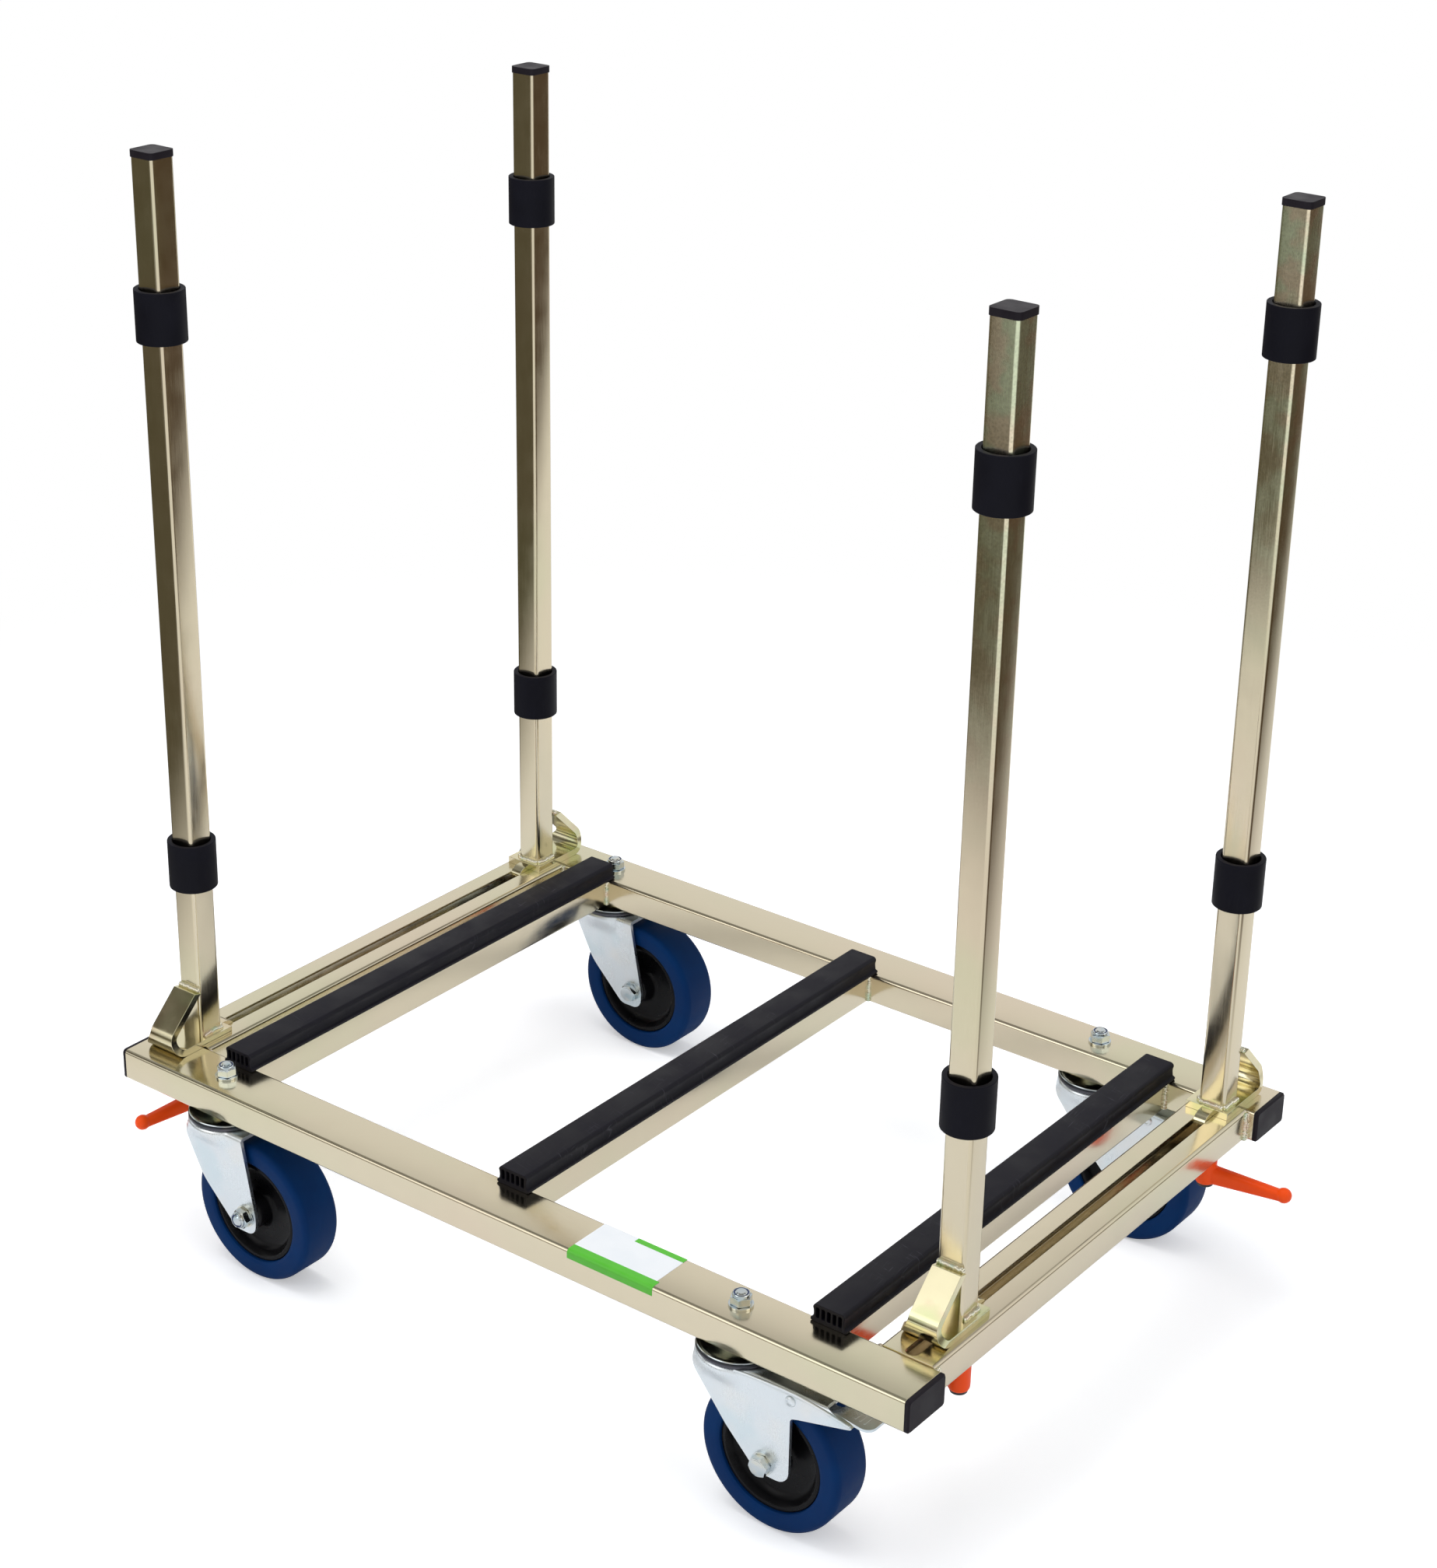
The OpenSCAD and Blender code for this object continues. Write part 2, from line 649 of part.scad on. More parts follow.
// A square post: a tube that stands on its foot
module post(c) {
    post_l = post_top_h - post_cap_t - foot_t;
    color(zinc_gold) at_post(c) translate([0, 0, foot_t]) linear_extrude(post_l) difference() {
        rounded_rect(post_w, post_w, post_corner_r);
        rounded_rect(post_w - 2 * post_wall, post_w - 2 * post_wall, post_bore_r);
    }
}

// Points round the foot's bend at radius r, from under the bend to where the strap begins
function bend_arc(r) = [for (k = [0:bend_steps]) let (a = -90 + (180 - strap_angle) * k / bend_steps)
    [bend_u + r * cos(a), bend_outer_r + r * sin(a)]];

// The foot's outline, with outward along X and height along Y: base, bend and rising strap
module foot_outline() {
    inner = bend_arc(foot_bend_r);
    outer = bend_arc(bend_outer_r);
    top_in = inner[bend_steps];
    top_out = outer[bend_steps];
    face = post_w / 2;
    meet_h = top_in[1] + (top_in[0] - face) * tan(strap_angle);
    land_h = meet_h + strap_land;
    land_u = top_out[0] - (land_h - top_out[1]) / tan(strap_angle);
    polygon(concat(
        [[-foot_in, 0]],
        outer,
        [[land_u, land_h], [face, land_h], [face, meet_h]],
        [for (k = [bend_steps:-1:0]) inner[k]],
        [[-foot_in, foot_t]]
    ));
}

// A foot: the bent flat bar beside the slot's middle, the tongue in the slot and the stud's hole
module foot(c) {
    color(zinc_gold) at_post(c) difference() {
        union() {
            rotate([90, 0, 90]) translate([0, 0, -side_y[c] * foot_shift - foot_w / 2])
                linear_extrude(foot_w) foot_outline();
            translate([0, -stud_in, -tube_wall]) linear_extrude(tube_wall + foot_t / 2) {
                circle(tongue_r);
                translate([-tongue_r, tongue_r - tongue_l]) square([2 * tongue_r, tongue_l - tongue_r]);
                translate([0, tongue_r - tongue_l]) circle(tongue_r);
            }
        }
        translate([0, -stud_in, -tube_wall - cut])
            cylinder(r = stud_r + stud_clear, h = tube_wall + cut + stud_top - frame_top + stud_hole_over);
    }
}

// A post cap: a square top over the post and a plug inside it
module post_cap(c) {
    cap_w = post_w + 2 * post_cap_lip;
    plug_w = post_w - 2 * post_wall - 2 * plug_clear;
    color(black_plastic) at_post(c) {
        translate([0, 0, post_top_h - post_cap_t])
            linear_extrude(post_cap_t) rounded_rect(cap_w, cap_w, post_corner_r + post_cap_lip);
        translate([0, 0, post_top_h - post_cap_t - post_plug_l])
            linear_extrude(post_plug_l) rounded_rect(plug_w, plug_w, post_bore_r);
    }
}

// A round sleeve on a post, with its lower end at height z over the frame
module sleeve(c, z) {
    color(rubber_black) at_post(c) translate([0, 0, z]) difference() {
        cylinder(d = sleeve_d, h = sleeve_l);
        translate([0, 0, -cut]) cylinder(r = sleeve_bore_r, h = sleeve_l + 2 * cut);
    }
}

// A clamp stud: the threaded rod up into the foot, the washer under the rail and the collar
module clamp_stud(c) {
    color(zinc_blue) at_stud(c) {
        translate([0, 0, stud_bottom]) cylinder(r = stud_r, h = stud_top - stud_bottom);
        translate([0, 0, hub_top]) cylinder(d = collar_d, h = collar_h);
        translate([0, 0, hub_top + collar_h]) cylinder(d = clamp_washer_d, h = clamp_washer_t);
    }
}

// A clamp handle: the hub with the bore it lifts along, the arm with its round end, and the button
module clamp_handle(c) {
    end_r = lever_end_d / 2;
    end_x = lever_l - end_r;
    arm_z = hub_bottom + arm_h / 2;
    end_z = arm_z - lever_drop;
    arm_end_h = lever_end_d - 3;
    arm_end_w = arm_w - 3;
    color(lever_orange) at_stud(c) rotate([0, 0, lever_turn[c]]) difference() {
        union() {
            translate([0, 0, hub_bottom]) cylinder(d = hub_d, h = hub_h);
            intersection() {
                rotate([90, 0, 0]) linear_extrude(hub_d, center = true) polygon([
                    [0, arm_z - arm_h / 2], [end_x, end_z - arm_end_h / 2],
                    [end_x, end_z + arm_end_h / 2], [0, arm_z + arm_h / 2]
                ]);
                linear_extrude(frame_bottom) polygon([
                    [0, -arm_w / 2], [end_x, -arm_end_w / 2], [end_x, arm_end_w / 2], [0, arm_w / 2]
                ]);
            }
            translate([end_x, 0, end_z]) sphere(end_r);
            translate([0, 0, hub_bottom - button_h]) cylinder(d1 = button_d - 2, d2 = button_d, h = button_h);
        }
        translate([0, 0, stud_bottom]) cylinder(r = stud_r + stud_clear, h = hub_h);
    }
}

side_tube(-1);  // front_side_tube
side_tube(1);  // back_side_tube
slotted_rail(-1);  // left_slotted_rail
slotted_rail(1);  // right_slotted_rail
cross_tube(-1);  // left_cross_tube
cross_tube(0);  // middle_cross_tube
cross_tube(1);  // right_cross_tube
tube_end_caps();
deck_pad(-1);  // left_pad
deck_pad(0);  // middle_pad
deck_pad(1);  // right_pad
caster_stems();
caster_lock_nuts();
caster_cups();
post(FL);  // front_left_post
foot(FL);  // front_left_foot
post_cap(FL);  // front_left_post_cap
sleeve(FL, sleeve_hi[FL]);  // front_left_upper_sleeve
sleeve(FL, sleeve_lo[FL]);  // front_left_lower_sleeve
post(BL);  // back_left_post
foot(BL);  // back_left_foot
post_cap(BL);  // back_left_post_cap
sleeve(BL, sleeve_hi[BL]);  // back_left_upper_sleeve
sleeve(BL, sleeve_lo[BL]);  // back_left_lower_sleeve
post(FR);  // front_right_post
foot(FR);  // front_right_foot
post_cap(FR);  // front_right_post_cap
sleeve(FR, sleeve_hi[FR]);  // front_right_upper_sleeve
sleeve(FR, sleeve_lo[FR]);  // front_right_lower_sleeve
post(BR);  // back_right_post
foot(BR);  // back_right_foot
post_cap(BR);  // back_right_post_cap
sleeve(BR, sleeve_hi[BR]);  // back_right_upper_sleeve
sleeve(BR, sleeve_lo[BR]);  // back_right_lower_sleeve
clamp_stud(FL);  // front_left_clamp_stud
clamp_handle(FL);  // front_left_clamp_handle
clamp_stud(BL);  // back_left_clamp_stud
clamp_handle(BL);  // back_left_clamp_handle
clamp_stud(FR);  // front_right_clamp_stud
clamp_handle(FR);  // front_right_clamp_handle
clamp_stud(BR);  // back_right_clamp_stud
clamp_handle(BR);  // back_right_clamp_handle
caster_fork(FL);  // front_left_caster_fork
caster_axle(FL);  // front_left_caster_axle
tyre(FL);  // front_left_tyre
rim(FL);  // front_left_rim
caster_fork(BL);  // back_left_caster_fork
caster_axle(BL);  // back_left_caster_axle
tyre(BL);  // back_left_tyre
rim(BL);  // back_left_rim
caster_fork(FR);  // front_right_caster_fork
caster_axle(FR);  // front_right_caster_axle
tyre(FR);  // front_right_tyre
rim(FR);  // front_right_rim
caster_fork(BR);  // back_right_caster_fork
caster_axle(BR);  // back_right_caster_axle
tyre(BR);  // back_right_tyre
rim(BR);  // back_right_rim
brake_pedal(FR);  // front_right_brake_pedal
brake_pedal(BR);  // back_right_brake_pedal
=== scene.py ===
import json
import math
import bpy
import bmesh
from mathutils import Matrix, Vector

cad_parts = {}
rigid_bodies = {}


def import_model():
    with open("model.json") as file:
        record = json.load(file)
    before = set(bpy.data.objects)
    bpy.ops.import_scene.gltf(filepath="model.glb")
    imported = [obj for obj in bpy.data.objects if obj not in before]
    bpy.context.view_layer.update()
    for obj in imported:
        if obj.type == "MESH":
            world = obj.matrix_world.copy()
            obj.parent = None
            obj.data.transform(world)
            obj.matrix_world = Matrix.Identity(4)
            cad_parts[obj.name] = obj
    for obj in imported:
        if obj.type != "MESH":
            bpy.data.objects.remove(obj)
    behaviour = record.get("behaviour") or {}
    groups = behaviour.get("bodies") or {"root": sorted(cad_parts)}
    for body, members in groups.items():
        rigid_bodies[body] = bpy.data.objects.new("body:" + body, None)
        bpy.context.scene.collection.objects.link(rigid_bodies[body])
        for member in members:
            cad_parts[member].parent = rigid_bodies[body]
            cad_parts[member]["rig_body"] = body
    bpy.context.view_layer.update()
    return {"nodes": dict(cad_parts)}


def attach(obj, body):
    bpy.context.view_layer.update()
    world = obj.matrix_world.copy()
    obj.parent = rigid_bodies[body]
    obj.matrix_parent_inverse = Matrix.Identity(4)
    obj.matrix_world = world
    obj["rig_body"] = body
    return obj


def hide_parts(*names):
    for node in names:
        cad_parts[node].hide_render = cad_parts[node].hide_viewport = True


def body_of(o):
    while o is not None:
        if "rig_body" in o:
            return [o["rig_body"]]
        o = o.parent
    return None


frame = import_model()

mm = 0.001

# Places shared by all pieces, in millimetres
cart = {"frameTop": 215, "frameBottom": 180, "sideTubeY": 325, "railX": 467.5, "crossX": 385, "innerHalf": 295}
topZ, sideTubeY = cart["frameTop"], cart["sideTubeY"]
corners = {
    "front_left": {"postY": 277, "sleeves": (181, 775), "lever": 253, "drop": 13, "headSide": 1},
    "back_left": {"postY": 280, "sleeves": (199, 790), "lever": 180, "drop": 13, "headSide": -1},
    "front_right": {"postY": 215, "sleeves": (204.4, 792), "lever": 180, "drop": 13, "headSide": -1},
    "back_right": {"postY": 284, "sleeves": (237, 812), "lever": 8, "drop": 2, "headSide": -1},
}
for name, c in corners.items():
    right, back = name.endswith("right"), name.startswith("back")
    c.update(sideX=1 if right else -1, sideY=1 if back else -1, casterX=300 if right else -381, brake=right,
             tag="".join(w.capitalize() for w in name.split("_")))


# Outlines and plain solids, all in millimetres
def arcPoints(cx, cy, r, start, end, steps):
    angles = [math.radians(start + (end - start) * k / steps) for k in range(steps + 1)]
    return [(cx + r * math.cos(a), cy + r * math.sin(a)) for a in angles]


def roundedRect(w, h, r, steps=7):
    x, y = w / 2 - r, h / 2 - r
    return (arcPoints(x, y, r, 0, 90, steps) + arcPoints(-x, y, r, 90, 180, steps)
            + arcPoints(-x, -y, r, 180, 270, steps) + arcPoints(x, -y, r, 270, 360, steps))


def circle(r, steps):
    return arcPoints(0, 0, r, 0, 360 - 360 / steps, steps - 1)


def stadium(length, w, steps=14):
    half = (length - w) / 2
    return arcPoints(0, half, w / 2, 0, 180, steps) + arcPoints(0, -half, w / 2, 180, 360, steps)


def filleted(points, radii, steps=7):
    # Replaces each corner of an outline by an arc of its radius
    result = []
    count = len(points)
    for i, (p, r) in enumerate(zip(points, radii)):
        here = Vector(p)
        back = (Vector(points[i - 1]) - here).normalized()
        ahead = (Vector(points[(i + 1) % count]) - here).normalized()
        half = back.angle(ahead) / 2
        if r <= 0 or half > 1.55:
            result.append(tuple(here))
            continue
        reach = r / math.tan(half)
        centre = here + (back + ahead).normalized() * (r / math.sin(half))
        a = here + back * reach - centre
        sweep = a.angle_signed(here + ahead * reach - centre)
        result += [tuple(centre + Matrix.Rotation(-sweep * k / steps, 2) @ a) for k in range(steps + 1)]
    return result


def prism(loops, low, high):
    # A flat outline with holes, drawn in X and Y, made solid from low to high
    flat = bmesh.new()
    rings, edges = [], []
    for loop in loops:
        verts = [flat.verts.new((a, b, 0)) for a, b in loop]
        rings.append(verts)
        edges += [flat.edges.new((verts[i], verts[(i + 1) % len(verts)])) for i in range(len(verts))]
    bmesh.ops.triangle_fill(flat, use_beauty=True, edges=edges)
    flat.verts.index_update()
    solid = bmesh.new()
    bottom, top = [[solid.verts.new((v.co.x, v.co.y, z)) for v in flat.verts] for z in (low, high)]
    for face in flat.faces:
        ids = [v.index for v in face.verts]
        solid.faces.new([bottom[i] for i in ids])
        solid.faces.new([top[i] for i in reversed(ids)])
    for ring in rings:
        ids = [v.index for v in ring]
        for a, b in zip(ids, ids[1:] + ids[:1]):
            solid.faces.new((bottom[a], bottom[b], top[b], top[a]))
    bmesh.ops.recalc_face_normals(solid, faces=solid.faces)
    flat.free()
    return solid


def skin(rows, closed=False, ends=True):
    # A surface over rings of points; a row of one point is a tip, closed joins the last row to the first
    solid = bmesh.new()
    count = max(len(row) for row in rows)
    rings = []
    for row in rows:
        verts = [solid.verts.new(p) for p in row]
        rings.append(verts * count if len(verts) == 1 else verts)
    pairs = list(zip(rings, rings[1:])) + ([(rings[-1], rings[0])] if closed else [])
    for low, high in pairs:
        for k in range(count):
            after = (k + 1) % count
            face = list(dict.fromkeys((low[k], low[after], high[after], high[k])))
            if len(face) > 2:
                solid.faces.new(face)
    if ends and not closed:
        for ring in (rings[0], rings[-1]):
            if ring[0] is not ring[1]:
                solid.faces.new(ring)
    bmesh.ops.recalc_face_normals(solid, faces=solid.faces)
    return solid


def lathe(profile, steps=96, closed=False):
    # Turns (radius, height) points round Z; a closed profile makes a ring
    def ring(r, z):
        angles = [2 * math.pi * k / steps for k in range(steps)]
        return [(r * math.cos(a), r * math.sin(a), z) for a in angles] if r > 0 else [(0, 0, z)]
    return skin([ring(r, z) for r, z in profile], closed, ends=False)


def hexNut(flats, height, ease=1.1, bore=0, steps=72):
    # A hexagon whose corners are turned off at both ends, with a bore if one is given
    reach = flats / math.sqrt(3)
    angles = [2 * math.pi * k / steps for k in range(steps)]

    def ring(radii, heights):
        return [(r * math.cos(a), r * math.sin(a), z) for a, r, z in zip(angles, radii, heights)]

    walls = [flats / 2 / math.cos(a % (math.pi / 3) - math.pi / 6) for a in angles]
    drops = [ease * max(0, (r - flats / 2 * 0.985)) / (reach - flats / 2) * 0.9 for r in walls]
    chamfer = [flats / 2 * 0.94] * steps
    rows = [ring(chamfer, [0] * steps), ring(walls, [d * 0.6 + 0.15 for d in drops]), ring(walls, [height / 2] * steps),
            ring(walls, [height - d - 0.15 for d in drops]), ring(chamfer, [height] * steps)]
    if bore:
        rows += [ring([bore] * steps, [z] * steps) for z in (height, 0)]
    return skin(rows, closed=bool(bore))


# Places: a piece is drawn near the origin and laid out by these
alongX = Matrix(((0, 0, 1, 0), (1, 0, 0, 0), (0, 1, 0, 0), (0, 0, 0, 1)))
alongY = Matrix(((1, 0, 0, 0), (0, 0, 1, 0), (0, 1, 0, 0), (0, 0, 0, 1)))


def shift(x, y, z):
    return Matrix.Translation((x, y, z))


def turn(degrees, axis):
    return Matrix.Rotation(math.radians(degrees), 4, axis)


def mirror(x, y):
    return Matrix.Diagonal((x, y, 1, 1))


def at(place, *solids):
    return joined(*[(solid, place) for solid in solids])


def joined(*parts):
    # Puts solids in one mesh, each given alone or with its place
    whole = bmesh.new()
    for part in parts:
        solid, place = part if isinstance(part, tuple) else (part, Matrix())
        copy = solid.copy()
        copy.transform(place)
        if place.determinant() < 0:
            bmesh.ops.reverse_faces(copy, faces=copy.faces)
        holder = bpy.data.meshes.new("holder")
        copy.to_mesh(holder)
        copy.free()
        whole.from_mesh(holder)
        bpy.data.meshes.remove(holder)
    return whole


def looseObject(name, solid):
    mesh = bpy.data.meshes.new(name)
    solid.to_mesh(mesh)
    obj = bpy.data.objects.new(name, mesh)
    bpy.context.scene.collection.objects.link(obj)
    return obj


def baked(obj):
    # Replaces an object's mesh by what its modifiers make of it
    bpy.context.view_layer.update()
    result = bpy.data.meshes.new_from_object(obj.evaluated_get(bpy.context.evaluated_depsgraph_get()))
    old = obj.data
    obj.modifiers.clear()
    obj.data = result
    if old.users == 0:
        bpy.data.meshes.remove(old)
    return obj


def reshaped(solid, *steps):
    # Runs a solid through modifiers, each given as its kind and settings
    obj = looseObject("draft", solid)
    for kind, settings in steps:
        modifier = obj.modifiers.new(kind.lower(), kind)
        for key, value in settings.items():
            setattr(modifier, key, value)
    baked(obj)
    result = bmesh.new()
    result.from_mesh(obj.data)
    bpy.data.objects.remove(obj)
    return result


def carved(solid, cutter, operation="DIFFERENCE"):
    tool = looseObject("cutter", cutter)
    result = reshaped(solid, ("BOOLEAN", {"solver": "EXACT", "operation": operation, "object": tool}))
    bpy.data.objects.remove(tool)
    return result


def smoothed(obj):
    obj.data.polygons.foreach_set("use_smooth", [True] * len(obj.data.polygons))
    return obj


# Shader nodes and the groups shared by several materials
def addNode(tree, kind, sockets=None, **settings):
    # A node with its settings; each socket takes a value or another node's output
    node = tree.nodes.new(kind)
    for key, value in settings.items():
        setattr(node, key, value)
    for key, value in (sockets or {}).items():
        socket = node.inputs[key]
        if isinstance(value, bpy.types.NodeSocket):
            tree.links.new(value, socket)
        else:
            socket.default_value = (*value, 1) if socket.type == "RGBA" else value
    return node


def groupTree(kind, name, inputs, output):
    tree = bpy.data.node_groups.new(name, kind)
    for label, (socketKind, value) in inputs.items():
        socket = tree.interface.new_socket(label, in_out="INPUT", socket_type="NodeSocket" + socketKind)
        if value is not None:
            socket.default_value = value
    tree.interface.new_socket(output[0], in_out="OUTPUT", socket_type="NodeSocket" + output[1])
    return tree, tree.nodes.new("NodeGroupInput").outputs, tree.nodes.new("NodeGroupOutput").inputs


def mathNode(tree, operation, a, b):
    return addNode(tree, "ShaderNodeMath", {0: a, 1: b}, operation=operation).outputs[0]


def vectorNode(tree, operation, a, b=None, output="Vector"):
    sockets = {0: a} if b is None else {0: a, 1: b}
    return addNode(tree, "ShaderNodeVectorMath", sockets, operation=operation).outputs[output]


def mapRange(tree, value, low, high, toLow=0.0, toHigh=1.0, curve="SMOOTHSTEP"):
    sockets = {"Value": value, "From Min": low, "From Max": high, "To Min": toLow, "To Max": toHigh}
    return addNode(tree, "ShaderNodeMapRange", sockets, interpolation_type=curve).outputs["Result"]


def mixColour(tree, factor, a, b, blend="MIX"):
    sockets = {"Factor": factor, 6: a, 7: b}
    return addNode(tree, "ShaderNodeMix", sockets, data_type="RGBA", blend_type=blend).outputs[2]


def noiseNode(tree, vector, scale, detail):
    return addNode(tree, "ShaderNodeTexNoise", {"Vector": vector, "Scale": scale, "Detail": detail}).outputs["Fac"]


def buildGrainGroup():
    tree, start, end = groupTree("ShaderNodeTree", "stretchedGrain", {
        "Vector": ("Vector", None), "Stretch": ("Vector", (1, 1, 1)), "Scale": ("Float", 200.0),
        "Detail": ("Float", 3.0)}, ("Value", "Float"))
    drawn = vectorNode(tree, "MULTIPLY", start["Vector"], start["Stretch"])
    tree.links.new(noiseNode(tree, drawn, start["Scale"], start["Detail"]), end["Value"])
    return tree


def buildScuffGroup():
    # Thin broken lines across a surface, from noise drawn out along a turned direction
    tree, start, end = groupTree("ShaderNodeTree", "scuffLines", {
        "Vector": ("Vector", None), "Turn": ("Float", 0.4), "Scale": ("Float", 60.0),
        "Amount": ("Float", 0.5)}, ("Mask", "Float"))
    masks = []
    for offset, stretch in ((0.0, (1, 22, 1)), (1.9, (1, 16, 1))):
        angle = mathNode(tree, "ADD", start["Turn"], offset)
        spin = addNode(tree, "ShaderNodeVectorRotate", {"Vector": start["Vector"], "Angle": angle},
                       rotation_type="Z_AXIS")
        noise = noiseNode(tree, vectorNode(tree, "MULTIPLY", spin.outputs[0], stretch), start["Scale"], 4)
        masks.append(mapRange(tree, noise, 0.62, 0.74))
    where = mapRange(tree, noiseNode(tree, start["Vector"], 14, 2), 0.42, 0.66)
    lines = mathNode(tree, "MULTIPLY", mathNode(tree, "MAXIMUM", *masks), where)
    tree.links.new(mathNode(tree, "MULTIPLY", lines, start["Amount"]), end["Mask"])
    return tree


def buildTintGroup():
    # The thin coloured film of passivated zinc: slow drifts between three tones
    tree, start, end = groupTree("ShaderNodeTree", "passivateTint", {
        "Vector": ("Vector", None), "Scale": ("Float", 5.0), "Base": ("Color", (0.6, 0.55, 0.42, 1)),
        "Warm": ("Color", (0.62, 0.5, 0.4, 1)), "Green": ("Color", (0.56, 0.57, 0.4, 1))}, ("Color", "Color"))
    colour = start["Base"]
    for tone, seed, low, high in (("Warm", 3.7, 0.48, 0.66), ("Green", 17.3, 0.5, 0.7)):
        moved = vectorNode(tree, "ADD", start["Vector"], (seed, -seed, seed * 0.5))
        drift = mapRange(tree, noiseNode(tree, moved, start["Scale"], 2), low, high)
        colour = mixColour(tree, drift, colour, start[tone])
    tree.links.new(colour, end["Color"])
    return tree


grainGroup, scuffGroup, tintGroup = buildGrainGroup(), buildScuffGroup(), buildTintGroup()


def startMaterial(name):
    material = bpy.data.materials.new(name)
    material.use_nodes = True
    tree = material.node_tree
    return material, tree, tree.nodes["Principled BSDF"], tree.nodes.new("ShaderNodeTexCoord").outputs["Object"]


def placed(tree, group, where, **values):
    return addNode(tree, "ShaderNodeGroup", {"Vector": where, **values}, node_tree=group).outputs[0]


def grain(tree, where, scale, detail, stretch=(1, 1, 1)):
    return placed(tree, grainGroup, where, Stretch=stretch, Scale=scale, Detail=detail)


def finishShader(tree, shader, colour, roughness, height, strength, distance):
    bump = addNode(tree, "ShaderNodeBump", {"Strength": strength, "Distance": distance, "Height": height})
    for label, output in (("Base Color", colour), ("Roughness", roughness), ("Normal", bump.outputs[0])):
        tree.links.new(output, shader.inputs[label])


def zincMaterial(name, base, warm, green, stretch, rough, tintScale=5.0, spangle=0.0, spangleFrom=0.9):
    # Plated steel: a tinted film, fine drawing lines along the piece and faint mottling
    material, tree, shader, where = startMaterial(name)
    tint = placed(tree, tintGroup, where, Scale=tintScale, Base=base, Warm=warm, Green=green)
    lines = grain(tree, where, 1300.0, 2.0, stretch)
    mottle = grain(tree, where, 34.0, 2.0)

    def blend(share):
        # The lines and the mottling, by share of the lines
        drawn = mathNode(tree, "MULTIPLY", lines, share)
        return mathNode(tree, "ADD", drawn, mathNode(tree, "MULTIPLY", mottle, 1 - share))

    shade = mathNode(tree, "MULTIPLY", mapRange(tree, lines, 0.3, 0.7, 0.985, 1.01),
                     mapRange(tree, mottle, 0.3, 0.75, 0.985, 1.01))
    roughness = mapRange(tree, blend(0.5), 0.35, 0.65, *rough)
    height = blend(0.3)
    if spangle:
        # Crystals of the coating that show towards the top: their bump and greener mottling are the coating's own,
        # while their cells also brighten the colour there, which is painted highlight
        cells = addNode(tree, "ShaderNodeTexVoronoi", {"Vector": where, "Scale": 430}, feature="SMOOTH_F1")
        z = addNode(tree, "ShaderNodeSeparateXYZ", {0: where}).outputs["Z"]
        region = mapRange(tree, z, spangleFrom - 0.25, spangleFrom + 0.25)
        crystalsAndHighlight = mathNode(tree, "MULTIPLY", cells.outputs["Distance"], region)
        height = mathNode(tree, "ADD", height, mathNode(tree, "MULTIPLY", crystalsAndHighlight, spangle))
        dull = mathNode(tree, "MULTIPLY", mapRange(tree, z, spangleFrom, spangleFrom + 0.28), 0.1)
        roughness = mathNode(tree, "ADD", roughness, dull)
        greenish = mathNode(tree, "MULTIPLY", mapRange(tree, mottle, 0.4, 0.6), region)
        tint = mixColour(tree, greenish, tint, (0.6, 0.66, 0.47))
        # Painted highlight: the crystal cells lift the colour towards the top of the post, and the rest stays slightly
        # darker
        shade = mathNode(tree, "MULTIPLY", shade, mapRange(tree, crystalsAndHighlight, 0.0, 0.6, 0.97, 1.25, "LINEAR"))
    grey = addNode(tree, "ShaderNodeCombineColor", {k: shade for k in range(3)}).outputs[0]
    shader.inputs["Metallic"].default_value = 1.0
    finishShader(tree, shader, mixColour(tree, 1.0, tint, grey, "MULTIPLY"), roughness, height, 0.1, 0.00003)
    return material


def rubberMaterial(name, base, dusty, scuff, specular, rough, fineness, turnBy):
    # Dark moulded rubber: fine grain, grey scuff lines and a little dust
    material, tree, shader, where = startMaterial(name)
    fine, cloud = grain(tree, where, fineness, 4.0), grain(tree, where, 22.0, 4.0)
    marks = placed(tree, scuffGroup, where, Turn=turnBy, Scale=34.0, Amount=scuff)
    colour = mixColour(tree, mapRange(tree, cloud, 0.35, 0.75, 0.0, 0.55), base, dusty)
    colour = mixColour(tree, marks, colour, tuple(c * 2.2 + 0.03 for c in dusty))
    shader.inputs["Specular IOR Level"].default_value = specular
    height = mathNode(tree, "ADD", fine, mathNode(tree, "MULTIPLY", marks, 0.6))
    finishShader(tree, shader, colour, mapRange(tree, cloud, 0.3, 0.7, *rough), height, 0.3, 0.00012)
    return material


def plasticMaterial(name, base, lighter, rough, specular=0.5, depth=0.00005):
    material, tree, shader, where = startMaterial(name)
    fine, cloud = grain(tree, where, 1400.0, 2.0), grain(tree, where, 40.0, 3.0)
    colour = mixColour(tree, mapRange(tree, cloud, 0.35, 0.7, 0.0, 0.5), base, lighter)
    shader.inputs["Specular IOR Level"].default_value = specular
    finishShader(tree, shader, colour, mapRange(tree, cloud, 0.3, 0.7, *rough), fine, 0.25, depth)
    return material


tubeTones = ((0.72, 0.64, 0.475), (0.73, 0.63, 0.475), (0.69, 0.645, 0.46))
alike, alongPost, filmRough = (1, 1, 1), (1, 1, 0.03), (0.3, 0.42)
